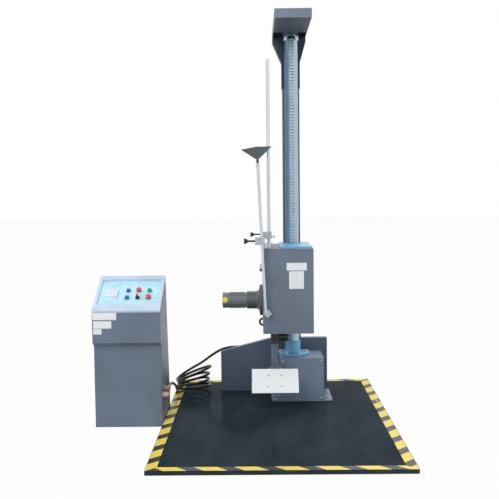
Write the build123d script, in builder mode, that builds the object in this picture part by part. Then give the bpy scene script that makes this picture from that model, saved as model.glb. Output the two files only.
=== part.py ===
from build123d import *
import math
import os

os.makedirs("parts", exist_ok=True)

# Single arm drop tester. Millimetres, +Z up, origin under the middle of the base plate.
# The front of the machine faces -Y and its operator console stands at -X.

# Base plate and its edge tape
plate_width = 1200
plate_depth = 1700
plate_thickness = 20
plate_corner_radius = 4
tape_width = 48
tape_margin = 2
tape_thickness = 0.4
fixing_y = 284
plate_top = plate_thickness

# Hexagon bolts shared by the plate, the pedestal feet and the post flange
bolt_shank_radius = 5
bolt_head_radius = 9.5
bolt_head_height = 7
washer_radius = 11
washer_thickness = 2
bolt_hole_clearance = 0.1

# Pedestal box that carries the post
pedestal_left = 28
pedestal_right = 277
pedestal_front = 309
pedestal_back = 575
pedestal_height = 250
pedestal_wall = 8
pedestal_roof = 12
pedestal_lip = 22
pedestal_lip_thickness = 5
cover_sheet = 3
cover_screw_inset = 15
foot_width = 50
foot_thickness = 8
foot_bolt_inset = 42
pedestal_top = plate_top + pedestal_height
shell_front = pedestal_front + cover_sheet
pedestal_x = (pedestal_left + pedestal_right) / 2
pedestal_width = pedestal_right - pedestal_left

# Small pan head screws
screw_radius = 2.5
screw_head_radius = 6
screw_head_height = 3.2
screw_fit = 0.05
screw_sink = 0.3

# Round guide post, its foot flange and its top clamp
post_x = 107
post_y = 448
post_radius = 37.5
post_fit = 0.05
flange_radius = 98
flange_thickness = 14
flange_bolt_radius = 75
flange_bolt_turns = (180, 240, 300, 0)
flange_trim = 2
flange_back_gap = 1
collar_radius = 44
collar_height = 68
collar_blend = 9
top_clamp_radius = 43
top_clamp_bore = 33
top_clamp_drop = 31
top_clamp_seat = 10
top_clamp_cap = 10
top_clamp_arch = 26

# Gear rack on the post and the pinion that climbs it
gear_module = 5.5
pressure_angle = 20
tooth_backlash = 0.3
pinion_teeth = 18
pinion_width = 30
rack_width = 26
rack_flat = 34
rack_body = 7.6
teeth_below_pinion = 7
rack_end_gap = 11.5
pinion_z = 604
shaft_radius = 14
shaft_fit = 0.05
gear_pitch = math.pi * gear_module
pitch_radius = gear_module * pinion_teeth / 2
addendum = gear_module
dedendum = 1.25 * gear_module
rack_back = post_y - rack_flat
rack_root = rack_back - rack_body
rack_tip = rack_root - addendum - dedendum
pinion_y = rack_tip + addendum - pitch_radius
rack_bottom = pinion_z - teeth_below_pinion * gear_pitch

# Rear channel column
column_width = 100
column_depth = 60
column_wall = 6
column_front = 512
column_foot = 10
column_back = column_front + column_depth

# Sheet metal panel behind the pedestal
panel_left = -323
panel_right = 318
panel_low_top = 260
panel_high_top = 341
panel_slope_end = -12
panel_front = 576
panel_fold = 36
panel_sheet = 4
panel_corner = 6

# Head: hood, cover plate under it, and the tapered bracket on the column
head_width = 192
head_shift = 9
head_front = -60
head_back = 590
head_bottom = 2113
head_height = 47
head_sheet = 3
head_corner = 2
under_plate_back = 355
under_plate_fit = 0.5
bracket_sheet = 3
bracket_low_drop = 290
bracket_waist_drop = 144
bracket_shoulder_drop = 26
bracket_side_fit = 0.2
bracket_low = head_bottom - bracket_low_drop
bracket_waist = head_bottom - bracket_waist_drop
bracket_shoulder = head_bottom - bracket_shoulder_drop
head_x = post_x - head_shift
head_top = head_bottom + head_height
roof_underside = head_top - head_sheet
rack_limit = head_bottom - top_clamp_drop + 2 * top_clamp_seat - rack_end_gap
teeth_above_pinion = math.floor((rack_limit - pinion_z) / gear_pitch)
rack_top = pinion_z + teeth_above_pinion * gear_pitch

# Carriage that climbs the post
carriage_left = -69
carriage_right = 206
carriage_front = 75
carriage_back = 500
carriage_bottom = 454
carriage_height = 463
carriage_sheet = 3
carriage_bend = 4
carriage_floor = 12
carriage_top = carriage_bottom + carriage_height
carriage_x = (carriage_left + carriage_right) / 2
carriage_y = (carriage_front + carriage_back) / 2
carriage_width = carriage_right - carriage_left
carriage_depth = carriage_back - carriage_front

# Guide housing on the carriage and its bushes round the post
guide_plate_left = 30
guide_plate_front = 129
guide_plate_thickness = 8
guide_plate_margin = 3
guide_lap = 8
sleeve_radius = 59
upper_sleeve_length = 150
lower_sleeve_length = 74
bush_radius = 45
bush_length = 56
bush_clearance = 0.08
rack_slot_clearance = 3
rack_tip_clearance = 4

# Hoist drive on the left side of the carriage
gearbox_flange_radius = 88
gearbox_flange_thickness = 18
gearbox_body_radius = 49
gearbox_length = 92
gearbox_blend = 26
gearbox_rib_count = 4
gearbox_rib_height = 3
gearbox_rib_width = 4
motor_radius = 43.5
motor_length = 138
motor_edge = 5
motor_fin_count = 16
motor_fin_width = 3
motor_fin_height = 2.5
fan_cover_length = 30
shaft_bore_depth = 50
bearing_width = 26
bearing_gap = 6
bearing_head_radius = 30
hub_radius = 23
hub_y = 300
hub_z = 795
hub_left_length = 17
hub_right_length = 12
lead_radius = 6
lead_loop_radius = 18
lead_y = 300
lead_z = 485

# Release head, drop arm and the fold-down support plate
arm_x = -5
arm_width = 41
arm_thickness = 24
arm_groove = 7
release_width_left = 22
release_depth = 70
release_height = 76
solenoid_radius = 28
solenoid_length = 53
hinge_y = 225
hinge_z = 231
hinge_pin_radius = 6
hinge_pin_fit = 0.05
hinge_eye_radius = 13
rest_tilt = 48
support_width = 258
support_length = 150
support_thickness = 6
support_back = 14
support_lift = 14
support_corner = 2
bracket_base_thickness = 5
bracket_base_width = 96
bracket_screw_x = 72
bracket_screw_y = 69
ear_thickness = 7
ear_gap = 0.5
nose_width = 12
nose_reach = 5
release_bottom = carriage_bottom - release_height

# Stand rod with its two boss clamps
rod_x = -33
rod_y = 150
rod_radius = 9.5
rod_top = 1936
rod_slide_fit = 0.08
socket_radius = 17
socket_height = 30
socket_flange_radius = 22
socket_flange_height = 5
socket_floor = 5
clamp_left = -80
clamp_right = -18
clamp_depth = 40
clamp_bottom = 968
clamp_height = 38
clamp_edge = 3
knob_fit = 0.08
knob_gap = 0.3
knob_rod_gap = 2.4
knob_z = 992
knob_shaft_radius = 4
knob_neck = 35
knob_head_length = 19
knob_small_radius = 7
knob_large_radius = 13.5
thumb_z = 980
thumb_shaft_radius = 3
thumb_neck = 9
thumb_head_radius = 8
thumb_head_length = 8
cross_rod_x = -70
cross_rod_z = 968
cross_rod_radius = 7
cross_rod_end = 60
cross_boss_radius = 12
lower_clamp_left = -109
lower_clamp_right = -57
lower_clamp_front = 22
lower_clamp_back = 88
lower_clamp_bottom = 942
lower_clamp_height = 38
lower_knob_shaft_radius = 5
lower_knob_neck = 39
lower_knob_head_length = 20
lower_knob_small_radius = 9
lower_knob_large_radius = 16

# Leaning rod, corner cup and end pad
lean_x = -72
lean_y = 40
lean_z = 962
lean_angle = 2.55
lean_radius = 8
lean_above = 415
lean_below = 388
lean_head_radius = 10.5
lean_head_length = 26
cup_pin_radius = 5
cup_pin_length = 15
cup_neck_radius = 7
cup_neck_length = 14
cup_tilt = 5.5
cup_leg = 118
cup_wall = 3
pad_size = 34
pad_thickness = 12
pad_turn = 42
pad_drop = 20
pad_shift = 10

# Operator console
console_gap = 2
console_width = 353
console_lower_front = -110
console_upper_front = -145
console_step_low = 431
console_step_high = 453
console_foot_back = 270
console_sheet = 2
fascia_front = -150
fascia_z = 623
fascia_slope = 27.76
fascia_length = 322
fascia_thickness = 12
fascia_corner = 3
window_half = 160
window_low = 53
window_high = 286
control_sheet = 4
control_margin = 2
console_corner = 3
fascia_overlap = 3
console_left = -plate_width / 2 - console_gap - console_width
console_x = console_left + console_width / 2
console_right = console_left + console_width

# Controls on the console, in columns and rows along the sloped panel
column_places = (-9, 47, 104)
row_places = (123, 187)
bezel_radius = 15
bezel_height = 5
stem_radius = 8
stem_length = 24
stem_fit = 0.1
cap_radius = 11.5
cap_height = 8
cap_fit = 0.4
button_travel = 4
mushroom_radius = 14
mushroom_height = 6
selector_length = 30
selector_width = 7
selector_height = 14
meter_size = 66
meter_place = (-96, 163)
meter_height = 12
meter_recess = 2
meter_border = 7
back_panel_width = 300
back_panel_margin = 60
back_panel_lap = 15
back_panel_corner = 4
socket_places = ((-8, 181), (-86, 166))
side_socket_radius = 14
side_socket_length = 12
socket_flange_side = 17
socket_flange_depth = 4
plug_length = 20
plug_reach = 36

# Terminal box, glands and the connecting cable
terminal_left = -150
terminal_right = -50
terminal_back = 664
terminal_bottom = 225
terminal_top = 292
gland_y = 636
gland_z = 277
gland_length = 44
gland_root_radius = 14
gland_tip_radius = 9.5
cable_radius = 7.5
coil_inset = 110
coil_y = 600
coil_outer = 115
coil_inner = 55
coil_left_height = 62
coil_right_height = 176
coil_edge = 12
coil_x = coil_inset - plate_width / 2


def at_x(x):
    return Plane.YZ.offset(x)


def at_y(y):
    return Plane.XZ.offset(-y)


def at_z(z):
    return Plane.XY.offset(z)


# Points shared by the holes and the bolts that sit in them
fixing_x = plate_width / 2 - tape_margin - tape_width / 2
fixing_points = [(-fixing_x, fixing_y), (fixing_x, fixing_y)]
foot_left_x = pedestal_left - foot_width / 2
foot_right_x = pedestal_right + foot_width / 2
foot_points = [
    (x, y)
    for x in (foot_left_x, foot_right_x)
    for y in (pedestal_front + foot_bolt_inset, pedestal_back - foot_bolt_inset)
]
flange_points = [
    (
        post_x + flange_bolt_radius * math.cos(math.radians(turn)),
        post_y + flange_bolt_radius * math.sin(math.radians(turn)),
    )
    for turn in flange_bolt_turns
]
cover_screw_points = [
    (x, z)
    for x in (pedestal_left + cover_screw_inset, pedestal_right - cover_screw_inset)
    for z in (plate_top + cover_screw_inset, pedestal_top - cover_screw_inset)
]

# Base plate with tapped holes under the feet and at its two floor fixings
with BuildPart() as base_plate:
    with BuildSketch():
        RectangleRounded(plate_width, plate_depth, plate_corner_radius)
    extrude(amount=plate_thickness)
    with BuildSketch(at_z(plate_top)):
        with Locations(*fixing_points, *foot_points):
            Circle(bolt_shank_radius + bolt_hole_clearance)
    extrude(amount=-plate_thickness, mode=Mode.SUBTRACT)
base_plate.part.label = "base_plate"
export_step(base_plate.part, "parts/base_plate.step")

# Adhesive hazard tape round the edge of the plate
with BuildPart() as edge_tape:
    with BuildSketch(at_z(plate_top)):
        Rectangle(plate_width - 2 * tape_margin, plate_depth - 2 * tape_margin)
        inner_margin = tape_margin + tape_width
        Rectangle(plate_width - 2 * inner_margin, plate_depth - 2 * inner_margin, mode=Mode.SUBTRACT)
        with Locations(*fixing_points):
            Circle(washer_radius + 1, mode=Mode.SUBTRACT)
    extrude(amount=tape_thickness)
edge_tape.part.label = "edge_tape"
export_step(edge_tape.part, "parts/edge_tape.step")

# Welded pedestal box, open below and at the front, with a foot along each side
with BuildPart() as pedestal_box:
    with BuildSketch(at_z(plate_top)):
        with Locations((pedestal_x, (shell_front + pedestal_back) / 2)):
            Rectangle(pedestal_width, pedestal_back - shell_front)
    extrude(amount=pedestal_height)
    with BuildSketch(at_z(plate_top)):
        with Locations((pedestal_x, (shell_front + pedestal_back - pedestal_wall) / 2)):
            Rectangle(pedestal_width - 2 * pedestal_wall, pedestal_back - pedestal_wall - shell_front)
    extrude(amount=pedestal_height - pedestal_roof, mode=Mode.SUBTRACT)
    with BuildSketch(at_y(shell_front)):
        with Locations((pedestal_x, plate_top + pedestal_height / 2)):
            Rectangle(pedestal_width, pedestal_height)
            Rectangle(
                pedestal_width - 2 * (pedestal_wall + pedestal_lip),
                pedestal_height - 2 * (pedestal_roof + pedestal_lip),
                mode=Mode.SUBTRACT,
            )
    extrude(amount=-pedestal_lip_thickness)
    with BuildSketch(at_z(plate_top)):
        with Locations(
            (foot_left_x, (shell_front + pedestal_back) / 2),
            (foot_right_x, (shell_front + pedestal_back) / 2),
        ):
            Rectangle(foot_width, pedestal_back - shell_front)
    extrude(amount=foot_thickness)
    with BuildSketch(at_z(plate_top)):
        with Locations(*foot_points):
            Circle(bolt_shank_radius + bolt_hole_clearance)
    extrude(amount=foot_thickness, mode=Mode.SUBTRACT)
    with BuildSketch(at_z(pedestal_top)):
        with Locations(*flange_points):
            Circle(bolt_shank_radius + bolt_hole_clearance)
    extrude(amount=-pedestal_roof, mode=Mode.SUBTRACT)
    with BuildSketch(at_y(shell_front)):
        with Locations(*cover_screw_points):
            Circle(screw_radius + screw_fit)
    extrude(amount=-(pedestal_lip_thickness + pedestal_wall), mode=Mode.SUBTRACT)
pedestal_box.part.label = "pedestal_box"
export_step(pedestal_box.part, "parts/pedestal_box.step")

# Front cover of the pedestal
with BuildPart() as pedestal_cover:
    with BuildSketch(at_y(shell_front)):
        with Locations((pedestal_x, plate_top + pedestal_height / 2)):
            RectangleRounded(pedestal_width, pedestal_height, 2)
        with Locations(*cover_screw_points):
            Circle(screw_radius + screw_fit, mode=Mode.SUBTRACT)
    extrude(amount=cover_sheet)
pedestal_cover.part.label = "pedestal_cover"
export_step(pedestal_cover.part, "parts/pedestal_cover.step")

# Pan head screws of the pedestal cover
with BuildPart() as cover_screws:
    with BuildSketch(at_y(pedestal_front)):
        with Locations(*cover_screw_points):
            Circle(screw_head_radius)
    extrude(amount=screw_head_height)
    fillet(cover_screws.faces().sort_by(Axis.Y)[:4].edges(), radius=screw_head_height * 0.6)
    with BuildSketch(at_y(pedestal_front)):
        with Locations(*cover_screw_points):
            Circle(screw_radius)
    extrude(amount=-(cover_sheet + pedestal_lip_thickness))
cover_screws.part.label = "cover_screws"
export_step(cover_screws.part, "parts/cover_screws.step")

# Hexagon bolts with washers: plate fixings, pedestal feet and post flange
bolt_seats = [(*point, plate_top, plate_thickness) for point in fixing_points]
bolt_seats += [(*point, plate_top + foot_thickness, foot_thickness + plate_thickness) for point in foot_points]
flange_seat = pedestal_top + flange_thickness
bolt_seats += [(*point, flange_seat, flange_thickness + pedestal_roof) for point in flange_points]
with BuildPart() as hex_bolts:
    for seat_x, seat_y, seat_z, grip in bolt_seats:
        with BuildSketch(Plane(origin=(seat_x, seat_y, seat_z))):
            Circle(bolt_shank_radius)
        extrude(amount=-grip)
        with BuildSketch(Plane(origin=(seat_x, seat_y, seat_z))):
            Circle(washer_radius)
        extrude(amount=washer_thickness)
        with BuildSketch(Plane(origin=(seat_x, seat_y, seat_z + washer_thickness))):
            RegularPolygon(radius=bolt_head_radius, side_count=6)
        extrude(amount=bolt_head_height)
hex_bolts.part.label = "hex_bolts"
export_step(hex_bolts.part, "parts/hex_bolts.step")

# Cast foot flange and collar of the post, trimmed at the pedestal's left side and at the column
post_axis = Axis((post_x, post_y, 0), (0, 0, 1))
with BuildPart() as post_flange:
    with BuildSketch(Plane(origin=(post_x, post_y, pedestal_top), x_dir=(1, 0, 0), z_dir=(0, -1, 0))):
        with BuildLine():
            collar_top = flange_thickness + collar_height
            Polyline(
                (post_radius + post_fit, 0),
                (flange_radius - 2, 0),
                (flange_radius, 2),
                (flange_radius, flange_thickness - 3),
                (flange_radius - 3, flange_thickness),
                (collar_radius + collar_blend, flange_thickness),
            )
            RadiusArc(
                (collar_radius + collar_blend, flange_thickness),
                (collar_radius, flange_thickness + collar_blend),
                collar_blend,
            )
            Polyline(
                (collar_radius, flange_thickness + collar_blend),
                (collar_radius, collar_top - 2),
                (collar_radius - 2, collar_top),
                (post_radius + post_fit, collar_top),
                (post_radius + post_fit, 0),
            )
        make_face()
    revolve(axis=post_axis)
    split(bisect_by=at_x(pedestal_left + flange_trim), keep=Keep.TOP)
    split(bisect_by=at_y(column_front - flange_back_gap), keep=Keep.TOP)
    with BuildSketch(at_z(pedestal_top)):
        with Locations(*flange_points):
            Circle(bolt_shank_radius + bolt_hole_clearance)
    extrude(amount=flange_thickness, mode=Mode.SUBTRACT)
post_flange.part.label = "post_flange"
export_step(post_flange.part, "parts/post_flange.step")

# Ground guide post with the flat that seats the rack
clamp_low = head_bottom - top_clamp_drop
post_end = clamp_low + top_clamp_seat
with BuildPart() as guide_post:
    with BuildSketch(Plane(origin=(post_x, post_y, pedestal_top))):
        Circle(post_radius)
    extrude(amount=post_end - pedestal_top)
    chamfer(guide_post.edges().filter_by(GeomType.CIRCLE).sort_by(Axis.Z)[-1], length=3)
    with BuildSketch(Plane(origin=(post_x, post_y, rack_bottom))):
        with Locations((0, -rack_flat - post_radius / 2)):
            Rectangle(2 * post_radius, post_radius)
    extrude(amount=rack_top - rack_bottom, mode=Mode.SUBTRACT)
guide_post.part.label = "guide_post"
export_step(guide_post.part, "parts/guide_post.step")

# Straight toothed rack, one tooth after another from its lower end
half_pitch_tooth = gear_pitch / 4 - tooth_backlash / 4
half_tip = half_pitch_tooth - addendum * math.tan(math.radians(pressure_angle))
half_root = half_pitch_tooth + dedendum * math.tan(math.radians(pressure_angle))
rack_outline = [(rack_back, rack_bottom), (rack_root, rack_bottom)]
for tooth in range(teeth_below_pinion + teeth_above_pinion):
    tooth_z = rack_bottom + (tooth + 0.5) * gear_pitch
    rack_outline += [
        (rack_root, tooth_z - half_root),
        (rack_tip, tooth_z - half_tip),
        (rack_tip, tooth_z + half_tip),
        (rack_root, tooth_z + half_root),
    ]
rack_outline += [(rack_root, rack_top), (rack_back, rack_top)]
with BuildPart() as gear_rack:
    with BuildSketch(at_x(post_x - rack_width / 2)):
        with BuildLine():
            Polyline(*rack_outline, close=True)
        make_face()
    extrude(amount=rack_width)
gear_rack.part.label = "gear_rack"
export_step(gear_rack.part, "parts/gear_rack.step")

# Involute pinion in one piece with its shaft, a tooth pointing at the rack at rest
base_radius = pitch_radius * math.cos(math.radians(pressure_angle))
tip_radius = pitch_radius + addendum
root_radius = pitch_radius - dedendum


def involute(radius):
    angle = math.acos(min(1.0, base_radius / radius))
    return math.tan(angle) - angle


def tooth_half_angle(radius):
    backlash_angle = tooth_backlash / 4 / pitch_radius
    return math.pi / 2 / pinion_teeth - backlash_angle + involute(pitch_radius) - involute(radius)


flank_steps = 4
flank_radii = [root_radius]
flank_radii += [base_radius + (tip_radius - base_radius) * step / flank_steps for step in range(flank_steps + 1)]
pinion_outline = []
for tooth in range(pinion_teeth):
    tooth_angle = 2 * math.pi * tooth / pinion_teeth
    rising = [(radius, tooth_angle - tooth_half_angle(max(radius, base_radius))) for radius in flank_radii]
    falling = [(radius, 2 * tooth_angle - angle) for radius, angle in reversed(rising)]
    pinion_outline += [(radius * math.cos(angle), radius * math.sin(angle)) for radius, angle in rising + falling]
gearbox_face = carriage_left
shaft_left = gearbox_face - gearbox_flange_thickness - shaft_bore_depth / 2
bearing_left = post_x + pinion_width / 2 + bearing_gap
shaft_right = bearing_left + bearing_width
with BuildPart() as drive_pinion:
    with BuildSketch(Plane(origin=(post_x - pinion_width / 2, pinion_y, pinion_z), x_dir=(0, 1, 0), z_dir=(1, 0, 0))):
        with BuildLine():
            Polyline(*pinion_outline, close=True)
        make_face()
    extrude(amount=pinion_width)
    with BuildSketch(Plane(origin=(shaft_left, pinion_y, pinion_z), x_dir=(0, 1, 0), z_dir=(1, 0, 0))):
        Circle(shaft_radius)
    extrude(amount=shaft_right - shaft_left)
drive_pinion.part.label = "drive_pinion"
export_step(drive_pinion.part, "parts/drive_pinion.step")

# Rear column: a channel with its web to the front, welded to a foot plate
with BuildPart() as rear_column:
    with BuildSketch(at_z(pedestal_top)):
        with Locations((post_x, (column_front + column_back) / 2)):
            Rectangle(column_width, column_depth)
        with Locations((post_x, (column_front + column_wall + column_back) / 2)):
            Rectangle(column_width - 2 * column_wall, column_depth - column_wall, mode=Mode.SUBTRACT)
    extrude(amount=roof_underside - pedestal_top)
    with BuildSketch(at_z(pedestal_top)):
        with Locations((post_x, (column_front + column_back) / 2)):
            Rectangle(column_width, column_depth)
    extrude(amount=column_foot)
    fillet(
        rear_column.edges().filter_by(Axis.Z).group_by(Axis.Y)[0],
        radius=column_wall * 0.8,
    )
rear_column.part.label = "rear_column"
export_step(rear_column.part, "parts/rear_column.step")

# Folded panel behind the pedestal, with its sloping left shoulder
panel_outline = [
    (panel_left, plate_top),
    (panel_right, plate_top),
    (panel_right, panel_high_top),
    (panel_slope_end, panel_high_top),
    (panel_left, panel_low_top),
]
with BuildPart() as rear_panel:
    with BuildSketch(at_y(panel_front + panel_fold)) as panel_face:
        with BuildLine():
            Polyline(*panel_outline, close=True)
        make_face()
    extrude(amount=panel_fold)
    fillet(rear_panel.edges().filter_by(Axis.Y).group_by(Axis.Z)[1:], radius=panel_corner)
    with BuildSketch(at_y(panel_front + panel_fold)):
        with BuildLine():
            Polyline(*panel_outline, close=True)
        make_face()
        offset(amount=-panel_sheet, mode=Mode.REPLACE)
    extrude(amount=panel_fold - panel_sheet, mode=Mode.SUBTRACT)
rear_panel.part.label = "rear_panel"
export_step(rear_panel.part, "parts/rear_panel.step")

# Head bracket: a sheet funnel from the hood's width down to a skirt round the column
skirt_half = column_width / 2 + bracket_side_fit + bracket_sheet
bracket_front = column_front - bracket_sheet
shoulder_half = head_width / 2
bracket_outline = [
    (post_x - skirt_half, bracket_low),
    (post_x + skirt_half, bracket_low),
    (post_x + skirt_half, bracket_waist),
    (head_x + shoulder_half, bracket_shoulder),
    (head_x + shoulder_half, head_bottom),
    (head_x - shoulder_half, head_bottom),
    (head_x - shoulder_half, bracket_shoulder),
    (post_x - skirt_half, bracket_waist),
]
with BuildPart() as head_bracket:
    with BuildSketch(at_y(head_back)):
        with BuildLine():
            Polyline(*bracket_outline, close=True)
        make_face()
    extrude(amount=head_back - bracket_front)
    with BuildSketch(at_y(head_back - bracket_sheet)):
        with BuildLine():
            Polyline(*bracket_outline, close=True)
        make_face()
        offset(amount=-bracket_sheet, mode=Mode.REPLACE)
    extrude(amount=head_back - 2 * bracket_sheet - bracket_front, mode=Mode.SUBTRACT)
    with BuildSketch(at_z(bracket_low)):
        with Locations((post_x, (column_front + head_back - bracket_sheet) / 2)):
            Rectangle(column_width + 2 * bracket_side_fit, head_back - bracket_sheet - column_front)
    extrude(amount=bracket_sheet, mode=Mode.SUBTRACT)
    with BuildSketch(at_z(head_bottom)):
        with Locations((head_x, (column_front + head_back - bracket_sheet) / 2)):
            Rectangle(head_width - 2 * bracket_sheet, head_back - bracket_sheet - column_front)
    extrude(amount=-bracket_sheet, mode=Mode.SUBTRACT)
head_bracket.part.label = "head_bracket"
export_step(head_bracket.part, "parts/head_bracket.step")

# Hood of the head, open below
head_depth = head_back - head_front
head_y = (head_front + head_back) / 2
with BuildPart() as head_hood:
    with BuildSketch(at_z(head_bottom)):
        with Locations((head_x, head_y)):
            RectangleRounded(head_width, head_depth, head_corner)
    extrude(amount=head_height)
    chamfer(head_hood.faces().sort_by(Axis.Z)[-1].edges(), length=1)
    with BuildSketch(at_z(head_bottom)):
        with Locations((head_x, head_y)):
            Rectangle(head_width - 2 * head_sheet, head_depth - 2 * head_sheet)
    extrude(amount=head_height - head_sheet, mode=Mode.SUBTRACT)
head_hood.part.label = "head_hood"
export_step(head_hood.part, "parts/head_hood.step")

# Polished cover plate under the front of the hood, on two folded edges
under_front = head_front + head_sheet
with BuildPart() as head_underplate:
    with BuildSketch(at_z(head_bottom)):
        with Locations((head_x, (under_front + under_plate_back) / 2)):
            Rectangle(head_width - 2 * head_sheet, under_plate_back - under_front)
    extrude(amount=head_sheet)
    with BuildSketch(at_z(head_bottom + head_sheet)):
        edge_shift = head_width / 2 - head_sheet * 1.5
        with Locations(
            (head_x - edge_shift, (under_front + under_plate_back) / 2),
            (head_x + edge_shift, (under_front + under_plate_back) / 2),
        ):
            Rectangle(head_sheet, under_plate_back - under_front)
    extrude(amount=head_height - 2 * head_sheet)
head_underplate.part.label = "head_underplate"
export_step(head_underplate.part, "parts/head_underplate.step")

# Clamp tube from the hood's roof down over the top of the post, arched open in front for the rack
with BuildPart() as top_clamp:
    with BuildSketch(Plane(origin=(post_x, post_y, clamp_low))):
        Circle(top_clamp_radius)
    extrude(amount=roof_underside - clamp_low)
    with BuildSketch(Plane(origin=(post_x, post_y, clamp_low))):
        Circle(post_radius + post_fit)
    extrude(amount=top_clamp_seat, mode=Mode.SUBTRACT)
    with BuildSketch(Plane(origin=(post_x, post_y, clamp_low))):
        Circle(top_clamp_bore)
    extrude(amount=roof_underside - clamp_low - top_clamp_cap, mode=Mode.SUBTRACT)
    with BuildSketch(Plane(origin=(post_x, post_y, clamp_low), x_dir=(1, 0, 0), z_dir=(0, -1, 0))):
        Circle(top_clamp_arch)
    extrude(amount=top_clamp_radius + 1, mode=Mode.SUBTRACT)
top_clamp.part.label = "top_clamp"
export_step(top_clamp.part, "parts/top_clamp.step")

# Carriage cover: a folded sheet box, open below and round the guide housing
guide_plate_right = carriage_right - guide_plate_margin
guide_plate_back = carriage_back - guide_plate_margin
guide_plate_x = (guide_plate_left + guide_plate_right) / 2
guide_plate_y = (guide_plate_front + guide_plate_back) / 2
guide_plate_width = guide_plate_right - guide_plate_left
guide_plate_depth = guide_plate_back - guide_plate_front
with BuildPart() as carriage_cover:
    with BuildSketch(at_z(carriage_bottom)):
        with Locations((carriage_x, carriage_y)):
            RectangleRounded(carriage_width, carriage_depth, carriage_bend)
    extrude(amount=carriage_height)
    chamfer(carriage_cover.faces().sort_by(Axis.Z)[-1].edges(), length=1.5)
    with BuildSketch(at_z(carriage_bottom)):
        with Locations((carriage_x, carriage_y)):
            Rectangle(carriage_width - 2 * carriage_sheet, carriage_depth - 2 * carriage_sheet)
    extrude(amount=carriage_height - carriage_sheet, mode=Mode.SUBTRACT)
    with BuildSketch(at_z(carriage_top)):
        with Locations((guide_plate_x, guide_plate_y + guide_lap / 2)):
            Rectangle(guide_plate_width - 2 * guide_lap, guide_plate_depth - guide_lap)
    extrude(amount=-carriage_sheet, mode=Mode.SUBTRACT)
    with BuildSketch(at_x(carriage_left)):
        with Locations((pinion_y, pinion_z)):
            Circle(shaft_radius + 6)
    extrude(amount=carriage_sheet, mode=Mode.SUBTRACT)
carriage_cover.part.label = "carriage_cover"
export_step(carriage_cover.part, "parts/carriage_cover.step")

# Carriage floor plate with the lower guide sleeve welded to it
sleeve_slot_width = rack_width + 2 * rack_slot_clearance
sleeve_slot_front = rack_tip - rack_tip_clearance
inside_width = carriage_width - 2 * carriage_sheet
inside_depth = carriage_depth - 2 * carriage_sheet
lower_sleeve_top = carriage_bottom + carriage_floor + lower_sleeve_length
with BuildPart() as carriage_base:
    with BuildSketch(at_z(carriage_bottom)):
        with Locations((carriage_x, carriage_y)):
            Rectangle(inside_width, inside_depth)
    extrude(amount=carriage_floor)
    with BuildSketch(Plane(origin=(post_x, post_y, carriage_bottom))):
        Circle(sleeve_radius)
    extrude(amount=lower_sleeve_top - carriage_bottom)
    with BuildSketch(Plane(origin=(post_x, post_y, carriage_bottom))):
        Circle(bush_radius)
    extrude(amount=lower_sleeve_top - carriage_bottom, mode=Mode.SUBTRACT)
    with BuildSketch(at_z(carriage_bottom)):
        with Locations((post_x, (sleeve_slot_front - rack_tip_clearance + post_y) / 2)):
            Rectangle(sleeve_slot_width, post_y - sleeve_slot_front + rack_tip_clearance)
    extrude(amount=lower_sleeve_top - carriage_bottom, mode=Mode.SUBTRACT)
    split(bisect_by=at_y(carriage_back - carriage_sheet), keep=Keep.TOP)
carriage_base.part.label = "carriage_base"
export_step(carriage_base.part, "parts/carriage_base.step")

# Guide housing: the top plate and upper sleeve in one casting
with BuildPart() as guide_housing:
    with BuildSketch(at_z(carriage_top)):
        with Locations((guide_plate_x, guide_plate_y)):
            RectangleRounded(guide_plate_width, guide_plate_depth, 6)
    extrude(amount=guide_plate_thickness)
    chamfer(guide_housing.faces().sort_by(Axis.Z)[-1].edges(), length=2)
    with BuildSketch(Plane(origin=(post_x, post_y, carriage_top))):
        Circle(sleeve_radius)
    extrude(amount=-upper_sleeve_length)
    with BuildSketch(Plane(origin=(post_x, post_y, carriage_top - upper_sleeve_length))):
        Circle(bush_radius)
    extrude(amount=upper_sleeve_length + guide_plate_thickness, mode=Mode.SUBTRACT)
    with BuildSketch(at_z(carriage_top - upper_sleeve_length)):
        with Locations((post_x, (sleeve_slot_front - rack_tip_clearance + post_y) / 2)):
            Rectangle(sleeve_slot_width, post_y - sleeve_slot_front + rack_tip_clearance)
    extrude(amount=upper_sleeve_length + guide_plate_thickness, mode=Mode.SUBTRACT)
    split(bisect_by=at_y(carriage_back - carriage_sheet), keep=Keep.TOP)
guide_housing.part.label = "guide_housing"
export_step(guide_housing.part, "parts/guide_housing.step")

# Slotted bushes that run on the post, one in each sleeve
bush_starts = (carriage_bottom, carriage_top + guide_plate_thickness - bush_length)
with BuildPart() as guide_bushes:
    for bush_z in bush_starts:
        with BuildSketch(Plane(origin=(post_x, post_y, bush_z))):
            Circle(bush_radius)
            Circle(post_radius + bush_clearance, mode=Mode.SUBTRACT)
            with Locations((0, -post_radius)):
                Rectangle(sleeve_slot_width, post_radius, mode=Mode.SUBTRACT)
        extrude(amount=bush_length)
guide_bushes.part.label = "guide_bushes"
export_step(guide_bushes.part, "parts/guide_bushes.step")

# Pedestal bearing inside the carriage for the free end of the pinion shaft
bearing_foot = carriage_bottom + carriage_floor
with BuildPart() as shaft_bearing:
    with BuildSketch(at_x(bearing_left)):
        with Locations((pinion_y, pinion_z)):
            Circle(bearing_head_radius)
        with Locations((pinion_y, (bearing_foot + pinion_z) / 2)):
            Rectangle(2 * bearing_head_radius, pinion_z - bearing_foot)
        with Locations((pinion_y, pinion_z)):
            Circle(shaft_radius + shaft_fit, mode=Mode.SUBTRACT)
    extrude(amount=bearing_width)
shaft_bearing.part.label = "shaft_bearing"
export_step(shaft_bearing.part, "parts/shaft_bearing.step")

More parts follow.
